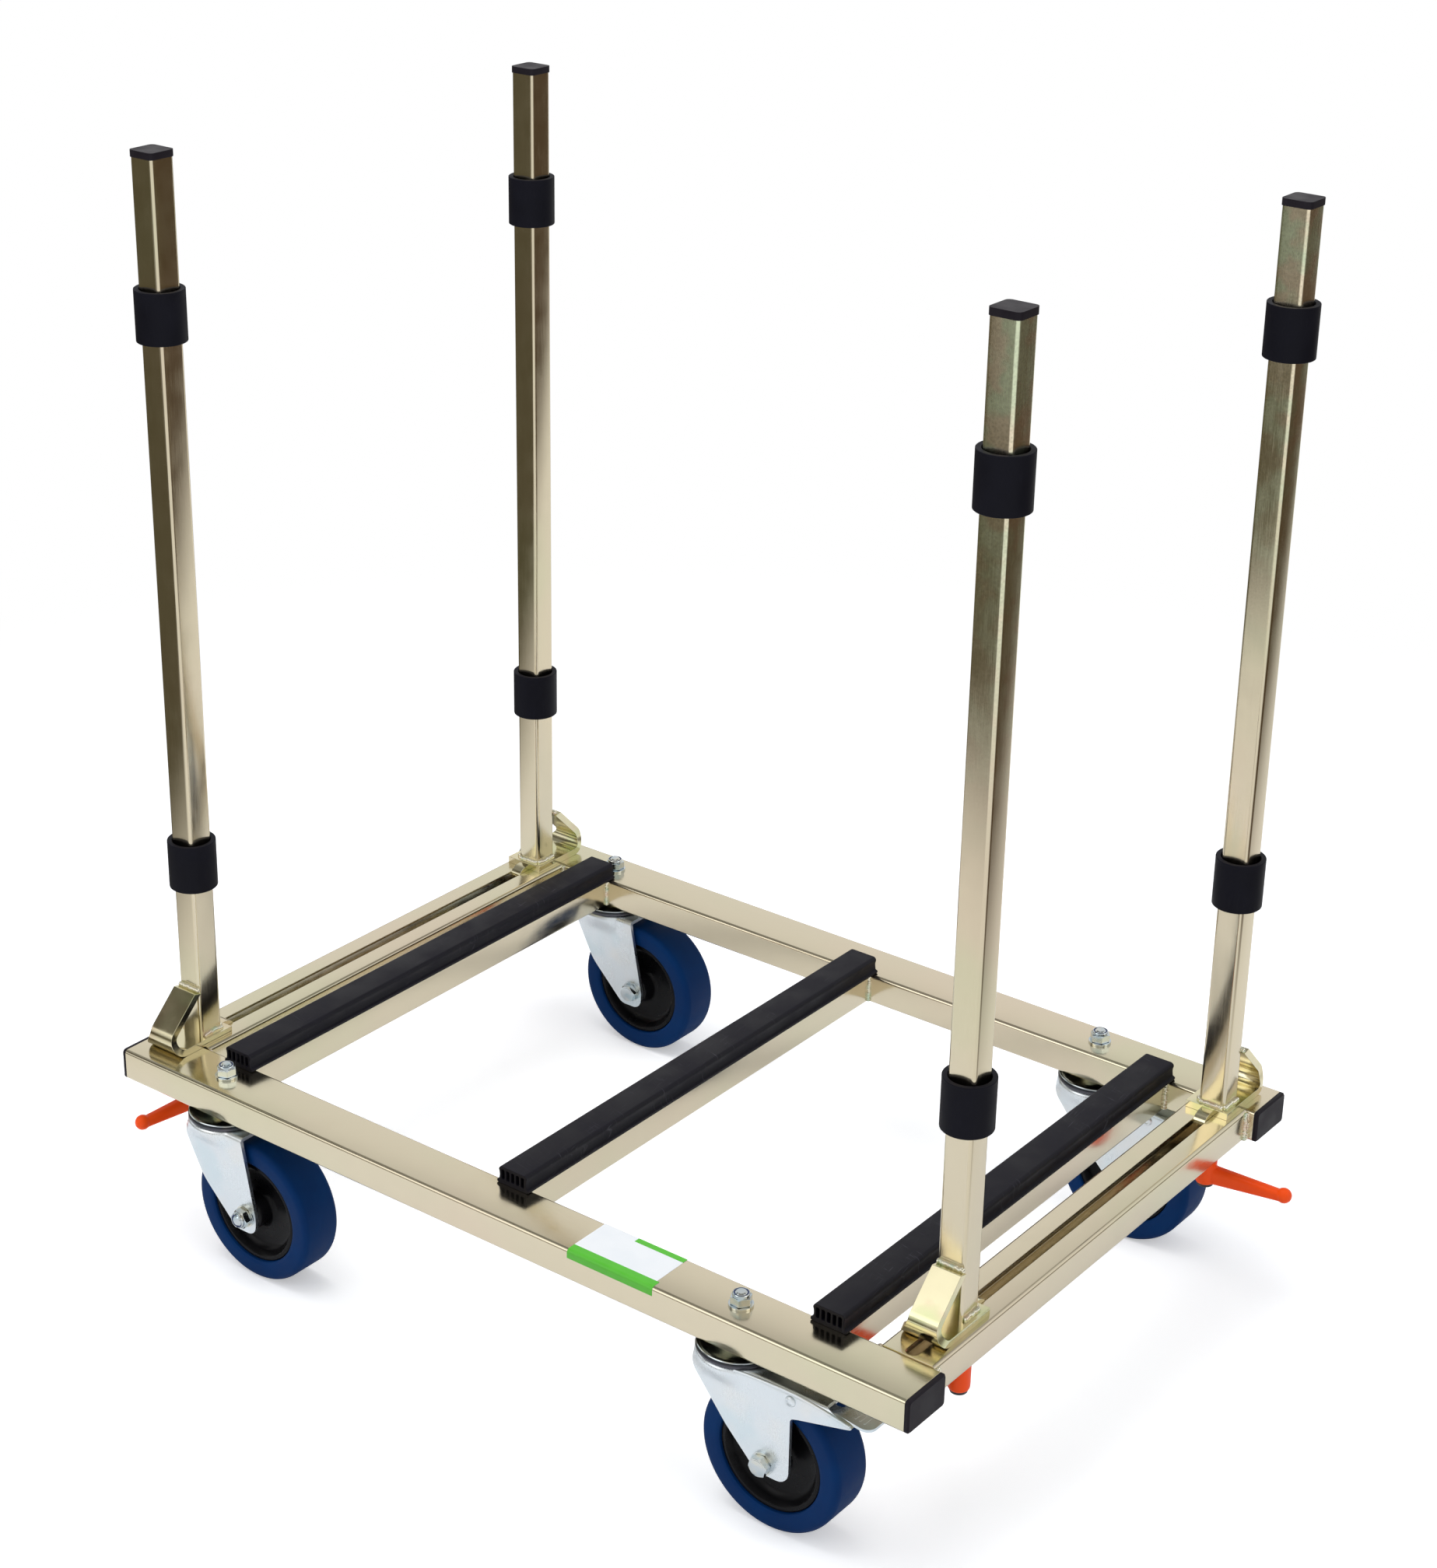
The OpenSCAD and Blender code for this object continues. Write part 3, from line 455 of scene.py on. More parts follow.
# By slot: each finish with the values of its material
recipes = (
    ("yellow_zinc", zincMaterial, {
        "tubeX": ("yellowZincTube", *tubeTones, (0.04, 1, 1), (0.13, 0.21)),
        "tubeY": ("yellowZincRail", *tubeTones, (1, 0.04, 1), (0.14, 0.23)),
        "postLeft": ("yellowZincPost", *tubeTones, alongPost, (0.13, 0.2)),
        # The right posts carry the coating's crystals and a painted highlight that brightens them towards the top
        "postRight": ("yellowZincPostSpangleHighlight", *tubeTones, alongPost, (0.13, 0.21), 5.0, 4.0),
        "foot": ("yellowZincFoot", (0.76, 0.7, 0.47), (0.7, 0.6, 0.41), (0.62, 0.64, 0.37), (1, 0.3, 1), (0.1, 0.2),
                 22.0),
        "weld": ("yellowZincWeld", (0.84, 0.8, 0.64), (0.78, 0.66, 0.52), (0.66, 0.76, 0.6), alike, (0.08, 0.18), 60.0)}),
    ("bright_zinc", zincMaterial, {
        "bright": ("brightZincPressed", (0.77, 0.82, 0.85), (0.8, 0.82, 0.82), (0.7, 0.79, 0.83), (1, 1, 0.25),
                   (0.26, 0.42), 18.0),
        "fastener": ("brightZincFastener", (0.58, 0.63, 0.65), (0.68, 0.68, 0.61), (0.46, 0.56, 0.6), alike,
                     (0.1, 0.22), 60.0),
        "seal": ("greySealRing", (0.1, 0.1, 0.115), (0.12, 0.11, 0.12), (0.08, 0.09, 0.1), alike, (0.3, 0.45), 30.0)}),
    ("pad_rubber", rubberMaterial, {
        "pad": ("scuffedPadRubber", (0.0045, 0.004, 0.0075), (0.01, 0.009, 0.015), 0.9, 0.2, (0.42, 0.6), 900.0,
                1.45)}),
    ("sleeve_rubber", rubberMaterial, {
        "sleeve": ("sleeveRubber", (0.003, 0.003, 0.007), (0.006, 0.006, 0.012), 0.05, 0.13, (0.5, 0.62),
                   1300.0, 0.4)}),
    ("tyre_rubber", rubberMaterial, {
        "tyre": ("blueTyreRubber", (0.0004, 0.024, 0.105), (0.0008, 0.034, 0.135), 0.04, 0.08, (0.42, 0.58),
                 900.0, 1.2)}),
    ("lever_plastic", plasticMaterial, {
        "lever": ("orangeLeverPlastic", (0.96, 0.078, 0.004), (1.0, 0.095, 0.006), (0.3, 0.42), 0.22)}),
    ("black_plastic", plasticMaterial, {
        "rim": ("blackRimPlastic", (0.003, 0.003, 0.0035), (0.006, 0.005, 0.006), (0.24, 0.34), 0.13),
        "cap": ("blackCapPlastic", (0.012, 0.0095, 0.013), (0.018, 0.015, 0.02), (0.36, 0.5), 0.11, 0.00008),
        "button": ("blackButtonPlastic", (0.01, 0.01, 0.011), (0.02, 0.02, 0.02), (0.28, 0.4)),
        "nylon": ("blueNylonRing", (0.006, 0.02, 0.1), (0.012, 0.035, 0.14), (0.22, 0.32)),
        "labelWhite": ("whiteLabelFilm", (0.82, 0.84, 0.86), (0.76, 0.79, 0.82), filmRough, 0.5, 0.00001),
        "labelGreen": ("greenLabelFilm", (0.08, 0.46, 0.022), (0.1, 0.52, 0.03), filmRough, 0.5, 0.00001)}),
)
finishes = {key: (build(*values), slot) for slot, build, rows in recipes for key, values in rows.items()}
print("materials ready:", len(finishes))


def ridesOn(obj, node):
    # The piece moves with a CAD node's body
    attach(obj, body_of(frame["nodes"][node])[0])


def piece(name, solid, finish, node, bevel=0.5, segments=2, angle=34, added=False):
    # Scales a solid to metres, eases its sharp edges and puts it in the place of a CAD node, or adds it to that node
    solid.transform(Matrix.Scale(mm, 4))
    obj = smoothed(looseObject(name, solid))
    solid.free()
    obj.data.materials.append(finishes[finish][0])
    if bevel:
        ease = obj.modifiers.new("ease", "BEVEL")
        ease.width, ease.segments, ease.limit_method = bevel * mm, segments, "ANGLE"
        ease.angle_limit, ease.harden_normals, ease.miter_outer = math.radians(angle), True, "MITER_ARC"
        baked(obj)
    else:
        obj.data.set_sharp_from_angle(angle=math.radians(angle))
    ridesOn(obj, node)
    if not added:
        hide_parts(node)


# Frame tubes
tube = {"height": 35, "wall": 3, "corner": 4, "sideWidth": 60, "sideHalf": 505, "railWidth": 60, "crossWidth": 30,
        "slotWidth": 14, "slotHalf": 293, "ventRadius": 2.5, "ventX": -414}
midZ = cart["frameBottom"] + tube["height"] / 2
crossPlaces = (("left", -cart["crossX"]), ("middle", 0), ("right", cart["crossX"]))


def tubeSolid(width, half, place):
    outer = roundedRect(width, tube["height"], tube["corner"])
    inner = roundedRect(width - 2 * tube["wall"], tube["height"] - 2 * tube["wall"], 1, steps=3)
    return at(place, prism([outer, inner], -half, half))


for name, side in (("front", -1), ("back", 1)):
    y = side * sideTubeY
    solid = tubeSolid(tube["sideWidth"], tube["sideHalf"], shift(0, y, midZ) @ alongX)
    if side > 0:
        vent = at(shift(tube["ventX"], y, topZ - 10), prism([circle(tube["ventRadius"], 24)], 0, 20))
        solid = carved(solid, vent)
    piece(name + "SideTube", solid, "tubeX", name + "_side_tube", 0.4)
slotOutline = stadium(2 * tube["slotHalf"], tube["slotWidth"])
for name, x in (("left", -cart["railX"]), ("right", cart["railX"])):
    solid = tubeSolid(tube["railWidth"], cart["innerHalf"], shift(x, 0, midZ) @ alongY)
    slotCut = at(shift(x, 0, cart["frameBottom"] - 10), prism([slotOutline], 0, 60))
    piece(name + "SlottedRail", carved(solid, slotCut), "tubeY", name + "_slotted_rail", 0.45)
for name, x in crossPlaces:
    solid = tubeSolid(tube["crossWidth"], cart["innerHalf"], shift(x, 0, midZ) @ alongY)
    piece(name + "CrossTube", solid, "tubeY", name + "_cross_tube", 0.4)
print("frame tubes ready")


# End caps: a flange with a sloped rim over each tube end, and its plug
endCap = {"x": 510, "thickness": 5, "slope": 1.6, "faceCorner": 3, "plugLength": 18, "plugGap": 6.4}


def tubeOutline(smaller, corner, steps=7):
    return roundedRect(tube["sideWidth"] - smaller, tube["height"] - smaller, corner, steps)


levels = ((2 * endCap["slope"], endCap["faceCorner"], 0), (0, tube["corner"], endCap["slope"]),
          (0, tube["corner"], endCap["thickness"]))
flange = skin([[(a, b, z) for a, b in tubeOutline(smaller, corner)] for smaller, corner, z in levels])
plug = prism([tubeOutline(endCap["plugGap"], 1, 3)], endCap["thickness"], endCap["thickness"] + endCap["plugLength"])
parts = []
for sx in (-1, 1):
    for sy in (-1, 1):
        place = shift(sx * endCap["x"], sy * sideTubeY, midZ) @ mirror(-sx, 1) @ alongX
        parts += [(flange, place), (plug, place)]
piece("endCaps", joined(*parts), "cap", "tube_end_caps", 0.35, 2, 20)


# Deck pads: extruded rubber with bottom lips, hollow cells and soft edges
pad = {"height": 19.5, "width": 36, "lip": 2.5, "cells": 5, "web": 2.4, "floor": 3.5, "half": 304, "waist": 1.0,
       "sideFrom": 4.6, "edge": 4}


def padOutline():
    w, h, low, edge = pad["width"] / 2, pad["height"], pad["sideFrom"], pad["edge"]
    right = [(w, 0.0), (w + pad["lip"], 0.8), (w + pad["lip"], 3.4), (w - 0.4, low)]
    right += [(w - pad["waist"] * math.sin(math.pi * k / 6), low + (h - low - edge) * k / 6) for k in range(1, 6)]
    right += arcPoints(w - edge, h - edge, edge, 0, 90, 6)
    return right + [(-a, b) for a, b in reversed(right)]


cellWidth = (pad["width"] - 2 * pad["waist"] - (pad["cells"] + 1) * pad["web"]) / pad["cells"]
cellHeight = pad["height"] - pad["floor"] - 2 * pad["web"]
cellX = [(k - pad["cells"] // 2) * (cellWidth + pad["web"]) for k in range(pad["cells"])]
cellY = pad["floor"] + pad["web"] + cellHeight / 2 - 1
holes = [[(a + x, b + cellY) for a, b in roundedRect(cellWidth, cellHeight, 1.2, 4)] for x in cellX]
for name, x in crossPlaces:
    solid = at(shift(x, 0, topZ) @ alongY, prism([padOutline()] + holes, -pad["half"], pad["half"]))
    bmesh.ops.bisect_plane(solid, geom=solid.verts[:] + solid.edges[:] + solid.faces[:],
                           plane_co=(x, 0, topZ + 5), plane_no=(0, 1, 0))
    piece(name + "Pad", solid, "pad", name + "_pad", 0.5, 2, 40)
print("deck pads ready")


# Bolts through the frame: washers, lock nuts with nylon rings, and the stems
bolt = {"flats": 19, "nutHeight": 9, "washer": 12.25, "washerBore": 6.3, "washerHeight": 2.5, "radius": 6,
        "thread": 5.35, "pitch": 1.5, "headHeight": 8}


def above(base, profile):
    # A profile whose heights are given over a base
    return [(r, base + z) for r, z in profile]


def washerSolid():
    inner, outer, height = bolt["washerBore"], bolt["washer"], bolt["washerHeight"]
    return lathe([(inner, 0), (outer, 0), (outer, height), (inner, height)], 64, closed=True)


def lockNutSolid():
    collar = [(7.5, -0.5), (8.9, -0.5), (8.7, 1.4), (8.2, 2.5), (7.6, 3), (7.3, 2.7), (7.3, 0)]
    return joined(hexNut(bolt["flats"], bolt["nutHeight"], bore=bolt["radius"]),
                  lathe(above(bolt["nutHeight"], collar), 64, closed=True))


def nylonSolid():
    return lathe(above(bolt["nutHeight"], [(6.02, 0), (7.35, 0), (7.3, 2.5), (6.8, 2.75), (6.02, 2.3)]), 64, closed=True)


def boltEnd(top, bottom):
    # A bolt's shank with a turned end and a few threads under it
    r, z = bolt["radius"], top - 1.2
    profile = [(0, top), (4.6, top), (r, z)]
    while z > top - 9:
        profile += [(r, z - 0.5), (bolt["thread"], z - 0.95), (r, z - 1.4)]
        z -= bolt["pitch"]
    return profile + [(r, bottom), (0, bottom)]


casterSpots = [(c["casterX"], c["sideY"] * sideTubeY) for c in corners.values()]
nutPlaces = [shift(x, y, topZ) @ turn(20 + 17 * i, "Z") for i, (x, y) in enumerate(casterSpots)]
onWasher = shift(0, 0, bolt["washerHeight"])


def atCasters(*solids):
    return joined(*[at(shift(x, y, 0), *solids) for x, y in casterSpots])


washers = [(washerSolid(), p) for p in nutPlaces]
lockNuts = joined(*washers, *[(lockNutSolid(), p @ onWasher) for p in nutPlaces])
piece("casterLockNuts", lockNuts, "fastener", "caster_lock_nuts", 0.3, 2, 30)
rings = joined(*[(nylonSolid(), p @ onWasher) for p in nutPlaces])
piece("casterNylonRings", rings, "nylon", "caster_lock_nuts", 0.15, 2, 30, added=True)
stem = lathe([(0, 160.2), (12, 160.2), (13, 161.2), (13, 165.4), (12.2, 166.2), (6, 166.2), (6, 216)], 48)
stems = atCasters(stem, lathe(boltEnd(230.5, 214), 64))
piece("casterStems", stems, "fastener", "caster_stems", 0.25, 1, 40)

# Swivel heads: a dished cup against the tube and the grey seal ring under it
swivelHead = {"cupBottom": 175.2, "sealBottom": 171.8}
cupProfile = above(swivelHead["cupBottom"], [
    (6.2, 0), (40.6, 0), (41.7, 1), (42, 2.2), (41.5, 2.8), (40.2, 2.7), (38.6, 1.7), (36, 1.1), (31, 0.9), (27, 1.3),
    (22.5, 3.2), (19.5, 4.6), (18, 4.8), (6.2, 4.8)])
piece("casterCups", atCasters(lathe(cupProfile, closed=True)), "fastener", "caster_cups", 0)
sealProfile = above(swivelHead["sealBottom"], [(6.4, 0), (41.9, 0), (42.5, 0.6)])
sealProfile += above(swivelHead["cupBottom"], [(42.5, -1), (41.2, -0.3), (38, -0.05), (6.4, -0.05)])
piece("casterSeals", atCasters(lathe(sealProfile, closed=True)), "seal", "caster_cups", 0, added=True)
print("bolts and swivel heads ready")


# Pressed caster forks: one sheet over the crown and down both legs
fork = {"trail": 54, "crownRadius": 43, "crownHalf": 27.57, "top": 171.5, "bend": 5, "legOuter": 33, "sheet": 4,
        "axleZ": 80, "flareFrom": 144, "flareHeight": 24, "bottomRound": 14, "pivotX": 83, "pivotZ": 162}
# Side views as X and Z points with the radius of each corner
plainOutline = filleted([(-37, 171.5), (-37, 161), (-8, 105), (38, 59), (66.5, 59), (68, 80), (51, 166), (51, 171.5)],
                        [0, 20, 60, 14, 12, 30, 0, 0])
brakeOutline = filleted([(-37, 171.5), (-37, 161), (9, 104), (46, 66.8), (83, 66.8), (83, 143), (149, 159.6),
                         (154, 162.6), (121, 171.5)], [0, 20, 60, 13, 14, 5, 4, 1.6, 0])


def eased(t):
    return t * t * (3 - 2 * t)


def spanAt(outline, z):
    # The leg's two edges at one height
    crossings = []
    for (xa, za), (xb, zb) in zip(outline, outline[1:] + outline[:1]):
        if (za - z) * (zb - z) <= 0 and abs(za - zb) > 1e-9:
            crossings.append(xa + (xb - xa) * (z - za) / (zb - za))
    return min(crossings), max(crossings)


def forkSheet(outline, columns=40):
    top, bend, leg, crown, end = (fork[k] for k in ("top", "bend", "legOuter", "crownRadius", "bottomRound"))
    bottom = min(z for _, z in outline)

    def outerY(x, z):
        # The leg is flat below and follows the round crown above
        disc = math.sqrt(max(0, crown ** 2 - x * x)) if x < fork["crownHalf"] else leg
        return leg + (disc - leg) * eased(min(1, max(0, (z - fork["flareFrom"]) / fork["flareHeight"])))

    def rowAt(z, inset=0):
        low, high = spanAt(outline, z)
        return [(x, outerY(x, z) - inset, z) for x in [low + (high - low) * k / columns for k in range(columns + 1)]]

    left, right = spanAt(outline, top - 1e-4)
    edgeY = outerY(left, top) - bend
    spread = math.atan2(edgeY, -left)
    rows = []
    for step in range(12):
        # The crown's flat top, from the middle line out to the bend
        t = step / 11
        reach = crown + (math.hypot(left, edgeY) - crown) * t
        bulge = -reach * math.cos(spread * t) + crown - (left + crown) * t
        row = []
        for k in range(columns + 1):
            u = k / columns
            edgeX, middleX = left + (right - left) * u, -crown + (right + crown) * u
            row.append((middleX + (edgeX - middleX) * t + bulge * (1 - u) ** 4, t * (outerY(edgeX, top) - bend), top))
        rows.append(row)
    for step in range(1, 6):
        a = math.radians(18 * step)
        rows.append(rowAt(top - bend * (1 - math.cos(a)), bend * (1 - math.sin(a))))
    rows += [rowAt(top - bend - (top - bend - bottom - end) * k / 40) for k in range(1, 41)]
    rows += [rowAt(bottom + end * (1 - math.sin(math.radians(90 * k / 12))) + 0.02) for k in range(1, 13)]
    sheet = bmesh.new()
    grid = [[sheet.verts.new((x, -y, z)) for x, y, z in row] for row in reversed(rows[1:])]
    grid += [[sheet.verts.new(p) for p in row] for row in rows]
    for a, b in zip(grid, grid[1:]):
        for k in range(columns):
            sheet.faces.new((a[k], a[k + 1], b[k + 1], b[k]))
    bmesh.ops.recalc_face_normals(sheet, faces=sheet.faces)
    if max(sheet.faces, key=lambda f: f.calc_center_median().z).normal.z < 0:
        bmesh.ops.reverse_faces(sheet, faces=sheet.faces)
    wall = {"thickness": fork["sheet"], "offset": -1, "use_even_offset": True}
    return reshaped(sheet, ("SOLIDIFY", wall))


def lipSolid(radius=1.7):
    # The turned edge along the top of a brake fork's side plate
    path = [(20, 35.8, 170), (34, 34.6, 170.6), (57, 34.2, 171.3), (75, 34.6, 172.4), (90, 34.9, 172.6),
            (106, 34.6, 171), (122, 34.2, 168.6), (150, 33.8, 163.6)]
    return skin([[(x, a, b) for a, b in arcPoints(y, z, radius, 0, 330, 11)] for x, y, z in path])


forkMeshes = {False: forkSheet(plainOutline), True: forkSheet(brakeOutline)}
rivet = lathe([(0, 1.6), (2.6, 1.6), (3.1, 2.6), (4.6, 2.3), (5.6, 0.9), (5.8, 0), (3.4, -4)], 40)
headFace = lathe([(0, 8.35), (7.6, 8.35), (8.4, 8.0), (8.4, 7.5), (0, 7.5)], 48)
headBolt = joined(hexNut(bolt["flats"], bolt["headHeight"]), headFace)
farSide = shift(0, 0, -fork["legOuter"] - bolt["washerHeight"]) @ turn(180, "X")


def axleParts(past=12, threaded=12.4):
    # Head, washers, lock nut and shank, drawn along Z with the head up
    out, r = fork["legOuter"], bolt["radius"]
    shank = lathe([(0, out), (r, out), (r, -out - past), (0, -out - past)], 48)
    return joined((washerSolid(), shift(0, 0, out)), (headBolt, shift(0, 0, out) @ onWasher @ turn(12, "Z")), shank,
                  (washerSolid(), shift(0, 0, -out) @ turn(180, "X")), (lockNutSolid(), farSide),
                  (lathe(boltEnd(threaded, 0), 48), farSide))


# Wheels: half profiles from the bore or seat out, mirrored
def bothSides(half):
    return half + [(r, -y) for r, y in reversed(half)]


wheel = {"radius": 80, "half": 25, "shoulder": 7}
shoulder = [(wheel["radius"] - wheel["shoulder"] * (1 - math.sin(math.radians(a))),
             wheel["half"] - wheel["shoulder"] * (1 - math.cos(math.radians(a)))) for a in range(15, 91, 15)]
tyreProfile = bothSides([(58, 21.5), (58.6, 23.4), (60.2, 24.6), (63, 25), (72.6, 25)] + shoulder)
rimProfile = bothSides([(6.1, 28.6), (14.5, 28.6), (16.6, 27.6), (17.6, 25), (18, 14), (20, 11), (24, 9.6), (42, 8.8),
                        (46.5, 10.6), (49.5, 15), (51.6, 20.6), (52.8, 22), (56.6, 22), (57.4, 21.4), (58, 20)])


# Brake pedals: a bent plate with a hole, a pivot barrel, a shoe and grip ribs
pedal = {"half": 18, "from": 85, "to": 161, "corner": 11, "holeX": 118, "holeRadius": 6, "barrelHalf": 28.6,
         "ribs": ((140, 155.2), (145, 154.5), (150, 153.8)), "ribTilt": 8, "shoeX": 99, "shoeLow": 151.9,
         "shoeTop": 156.5}


def pedalSolid():
    near, far, half = pedal["from"], pedal["to"], pedal["half"]
    side = [(near, 158.4), (131, 157.4), (far, 153.4), (far, 150.4), (131, 154.4), (near, 155.4)]
    plan = filleted([(near, -half), (far, -half), (far, half), (near, half)], [0, pedal["corner"], pedal["corner"], 0])
    # Both cutters reach past the plate's faces
    low, high, past = 140, 170, 4
    plate = carved(at(alongY, prism([side], -half - past, half + past)), prism([plan], low, high), "INTERSECT")
    plate = carved(plate, at(shift(pedal["holeX"], 0, 0), prism([circle(pedal["holeRadius"], 32)], low, high)))
    reach = pedal["barrelHalf"]
    barrel = lathe([(3.6, -reach), (5.4, -reach), (5.4, reach), (3.6, reach)], 40, closed=True)
    shoe = prism([roundedRect(10, 38, 2)], pedal["shoeLow"], pedal["shoeTop"])
    rib = prism([roundedRect(2, 22, 0.9, 3)], 0, 1.5)
    return joined(plate, (barrel, shift(fork["pivotX"], 0, fork["pivotZ"]) @ turn(90, "X")),
                  (shoe, shift(pedal["shoeX"], 0, 0)),
                  *[(rib, shift(x, 0, z) @ turn(pedal["ribTilt"], "Y")) for x, z in pedal["ribs"]])


# Post parts
post = {"width": 30, "corner": 4, "height": 964, "cap": 7, "capWidth": 32, "plug": 15, "plugWidth": 24.8,
        "studIn": 12}
foot = {"baseLeft": -26, "baseRight": 23, "strapLeft": -14, "strapRight": 18, "thickness": 8, "inner": -22, "out": 62,
        "bend": 10.5, "tab": 13.6, "tabStart": -12.5, "tabEnd": -40, "tabLow": -3}


def footStations():
    # (inner point, outer point, share of the narrowing) along the bar, from its inner end to the post
    outerR, face = foot["bend"] + foot["thickness"], post["width"] / 2
    cx = foot["out"] - outerR
    stations = [((x, foot["thickness"]), (x, 0), 0) for x in (foot["inner"], cx - 12)]
    for k in range(19):
        a = math.radians(-90 + 7.5 * k)
        inner, outer = [(cx + r * math.cos(a), outerR + r * math.sin(a)) for r in (foot["bend"], outerR)]
        stations.append((inner, outer, min(1, max(0, (k - 3) / 12))))
    (innerX, innerZ), (outerX, outerZ), _ = stations[-1]
    meet = innerX + innerZ - face
    return stations + [((face, meet), (outerX + outerZ - meet - 2, meet + 2), 1)]


def footSolid():
    # A flat bar: wide base, tight bend, narrower strap up to the post; a tab bent down into the slot
    rows = []
    for (iy, iz), (oy, oz), share in footStations():
        left = foot["baseLeft"] + (foot["strapLeft"] - foot["baseLeft"]) * eased(share)
        right = foot["baseRight"] + (foot["strapRight"] - foot["baseRight"]) * eased(share)
        rows.append(((left, iy, iz), (right, iy, iz), (right, oy, oz), (left, oy, oz)))
    start, low = foot["inner"], foot["tabLow"]
    tab = [(start + 2, 7.2)] + [(start - 3 - 15 * math.sin(math.radians(a)), 6.4 - 9.3 * (1 - math.cos(math.radians(a))))
                                for a in range(0, 97, 12)]
    tab += [(foot["tabEnd"], low), (foot["tabStart"], low), (foot["tabStart"], 1), (start + 2, 1)]
    return joined(skin(rows), (prism([tab], -foot["tab"] / 2, foot["tab"] / 2), alongX))


sleeveSolid = lathe([(20.3, 0), (25.5, 0), (25.5, 53), (20.3, 53)], 80, closed=True)
lever = {"length": 95, "hub": 11, "hubTop": 172, "hubBottom": 129, "armHeight": 21, "armWidth": 15, "tipHeight": 11.5,
         "endRadius": 8.5, "voxel": 0.8}


def leverSolid(drop):
    # Hub, tapered arm and raised thumb end, blended into one moulded piece
    low, top, r = lever["hubBottom"], lever["hubTop"], lever["hub"]
    hub = lathe([(0, low), (r - 1.6, low), (r - 0.4, low + 1.6), (r, low + 4), (r, top - 1), (r - 1, top), (0, top)], 64)
    endX, armZ = lever["length"] - lever["endRadius"], low + lever["armHeight"] / 2
    rows = []
    for t in [k / 12 for k in range(13)]:
        w = lever["armWidth"] - 3 * t
        h = lever["armHeight"] + (lever["tipHeight"] - lever["armHeight"]) * t
        rows.append([(endX * t, a, armZ - drop * t + b) for a, b in roundedRect(w, h, min(w, h) * 0.36, 6)])
    ball = bmesh.new()
    bmesh.ops.create_uvsphere(ball, u_segments=32, v_segments=20, radius=lever["endRadius"])
    whole = joined(hub, skin(rows), (ball, shift(endX, 0, armZ - drop + 1) @ mirror(1, 0.94)))
    return reshaped(whole, ("REMESH", {"mode": "VOXEL", "voxel_size": lever["voxel"]}),
                    ("SMOOTH", {"factor": 0.5, "iterations": 6}))


studProfile = [(0, 146), (5, 146), (5, 171), (8, 172), (9, 173), (9, 177.5), (13, 177.5), (13, 180), (5, 180), (5, 222),
               (0, 222)]
buttonProfile = [(0, 125.5), (7.6, 125.5), (8.6, 126.2), (9.2, 128), (9.4, 130.5), (0, 130.5)]
leverMeshes = {drop: leverSolid(drop) for drop in {c["drop"] for c in corners.values()}}
lipMesh, footMesh, pedalMesh = lipSolid(), footSolid(), pedalSolid()
capBase = post["height"] - post["cap"]
postShaft = prism([roundedRect(post["width"], post["width"], post["corner"], 6)], foot["thickness"], capBase)
postCap = joined(prism([roundedRect(post["capWidth"], post["capWidth"], 5, 6)], capBase, post["height"]),
                 prism([roundedRect(post["plugWidth"], post["plugWidth"], 1, 3)], capBase - post["plug"], capBase))
pivotPin = lathe([(0, -33), (3.5, -33), (3.5, 33), (0, 33)], 32)


def forkSolid(brake):
    # A brake fork also has rivets, turned lips and the pedal's pin
    if not brake:
        return forkMeshes[False]
    pivotX, pivotZ, out = fork["pivotX"], fork["pivotZ"], fork["legOuter"]
    return joined(forkMeshes[True], *[(rivet, shift(pivotX, s * out, pivotZ) @ turn(-90 * s, "X")) for s in (-1, 1)],
                  *[(lipMesh, mirror(1, s)) for s in (-1, 1)], (pivotPin, shift(pivotX, 0, pivotZ) @ turn(90, "X")))


def postPlace(c):
    return shift(c["sideX"] * cart["railX"], c["sideY"] * c["postY"], topZ) @ mirror(1, c["sideY"])


for name, c in corners.items():
    onPost = postPlace(c)
    onCaster = shift(c["casterX"], c["sideY"] * sideTubeY, 0)
    onStud = shift(c["sideX"] * cart["railX"], c["sideY"] * (c["postY"] - post["studIn"]), 0)
    onWheel = onCaster @ shift(fork["trail"], 0, fork["axleZ"])
    onAxle = onWheel @ turn(-90 * c["headSide"], "X")
    onRim = onWheel @ turn(90, "X")
    # Name, finish, node, solid with its place, edge easing
    rows = [
        ("post", "postRight" if c["sideX"] > 0 else "postLeft", "post", (postShaft, onPost), 0),
        ("foot", "foot", "foot", (footMesh, onPost), 1.1, 3, 40),
        ("postCap", "cap", "post_cap", (postCap, onPost), 1.2, 3, 40)]
    rows += [(level + "Sleeve", "sleeve", level + "_sleeve", (sleeveSolid, onPost @ shift(0, 0, z)), 0.7, 3, 40)
             for level, z in zip(("lower", "upper"), c["sleeves"])]
    rows += [
        ("clampStud", "fastener", "clamp_stud", (lathe(studProfile, 64), onStud), 0.35, 2, 40),
        ("clampLever", "lever", "clamp_handle", (leverMeshes[c["drop"]], onStud @ turn(c["lever"], "Z")), 0),
        ("leverButton", "button", "clamp_handle", (lathe(buttonProfile, 48), onStud), 0, 2, 34, True),
        ("casterFork", "bright", "caster_fork", (forkSolid(c["brake"]), onCaster), 0.7, 2, 50),
        ("casterAxle", "fastener", "caster_axle", (axleParts(), onAxle), 0.3, 2, 30),
        ("axleNylonRing", "nylon", "caster_axle", (nylonSolid(), onAxle @ farSide), 0.15, 2, 30, True),
        ("tyre", "tyre", "tyre", (lathe(tyreProfile, 144, closed=True), onRim), 0),
        ("rim", "rim", "rim", (lathe(rimProfile, 120, closed=True), onRim), 0.5, 2, 40)]
    if c["brake"]:
        rows.append(("brakePedal", "bright", "brake_pedal", (pedalMesh, onCaster), 0.5, 2, 40))
    for title, finish, node, solid, *edge in rows:
        piece(title + c["tag"], joined(solid), finish, f"{name}_{node}", *edge)
    print("corner ready:", name)


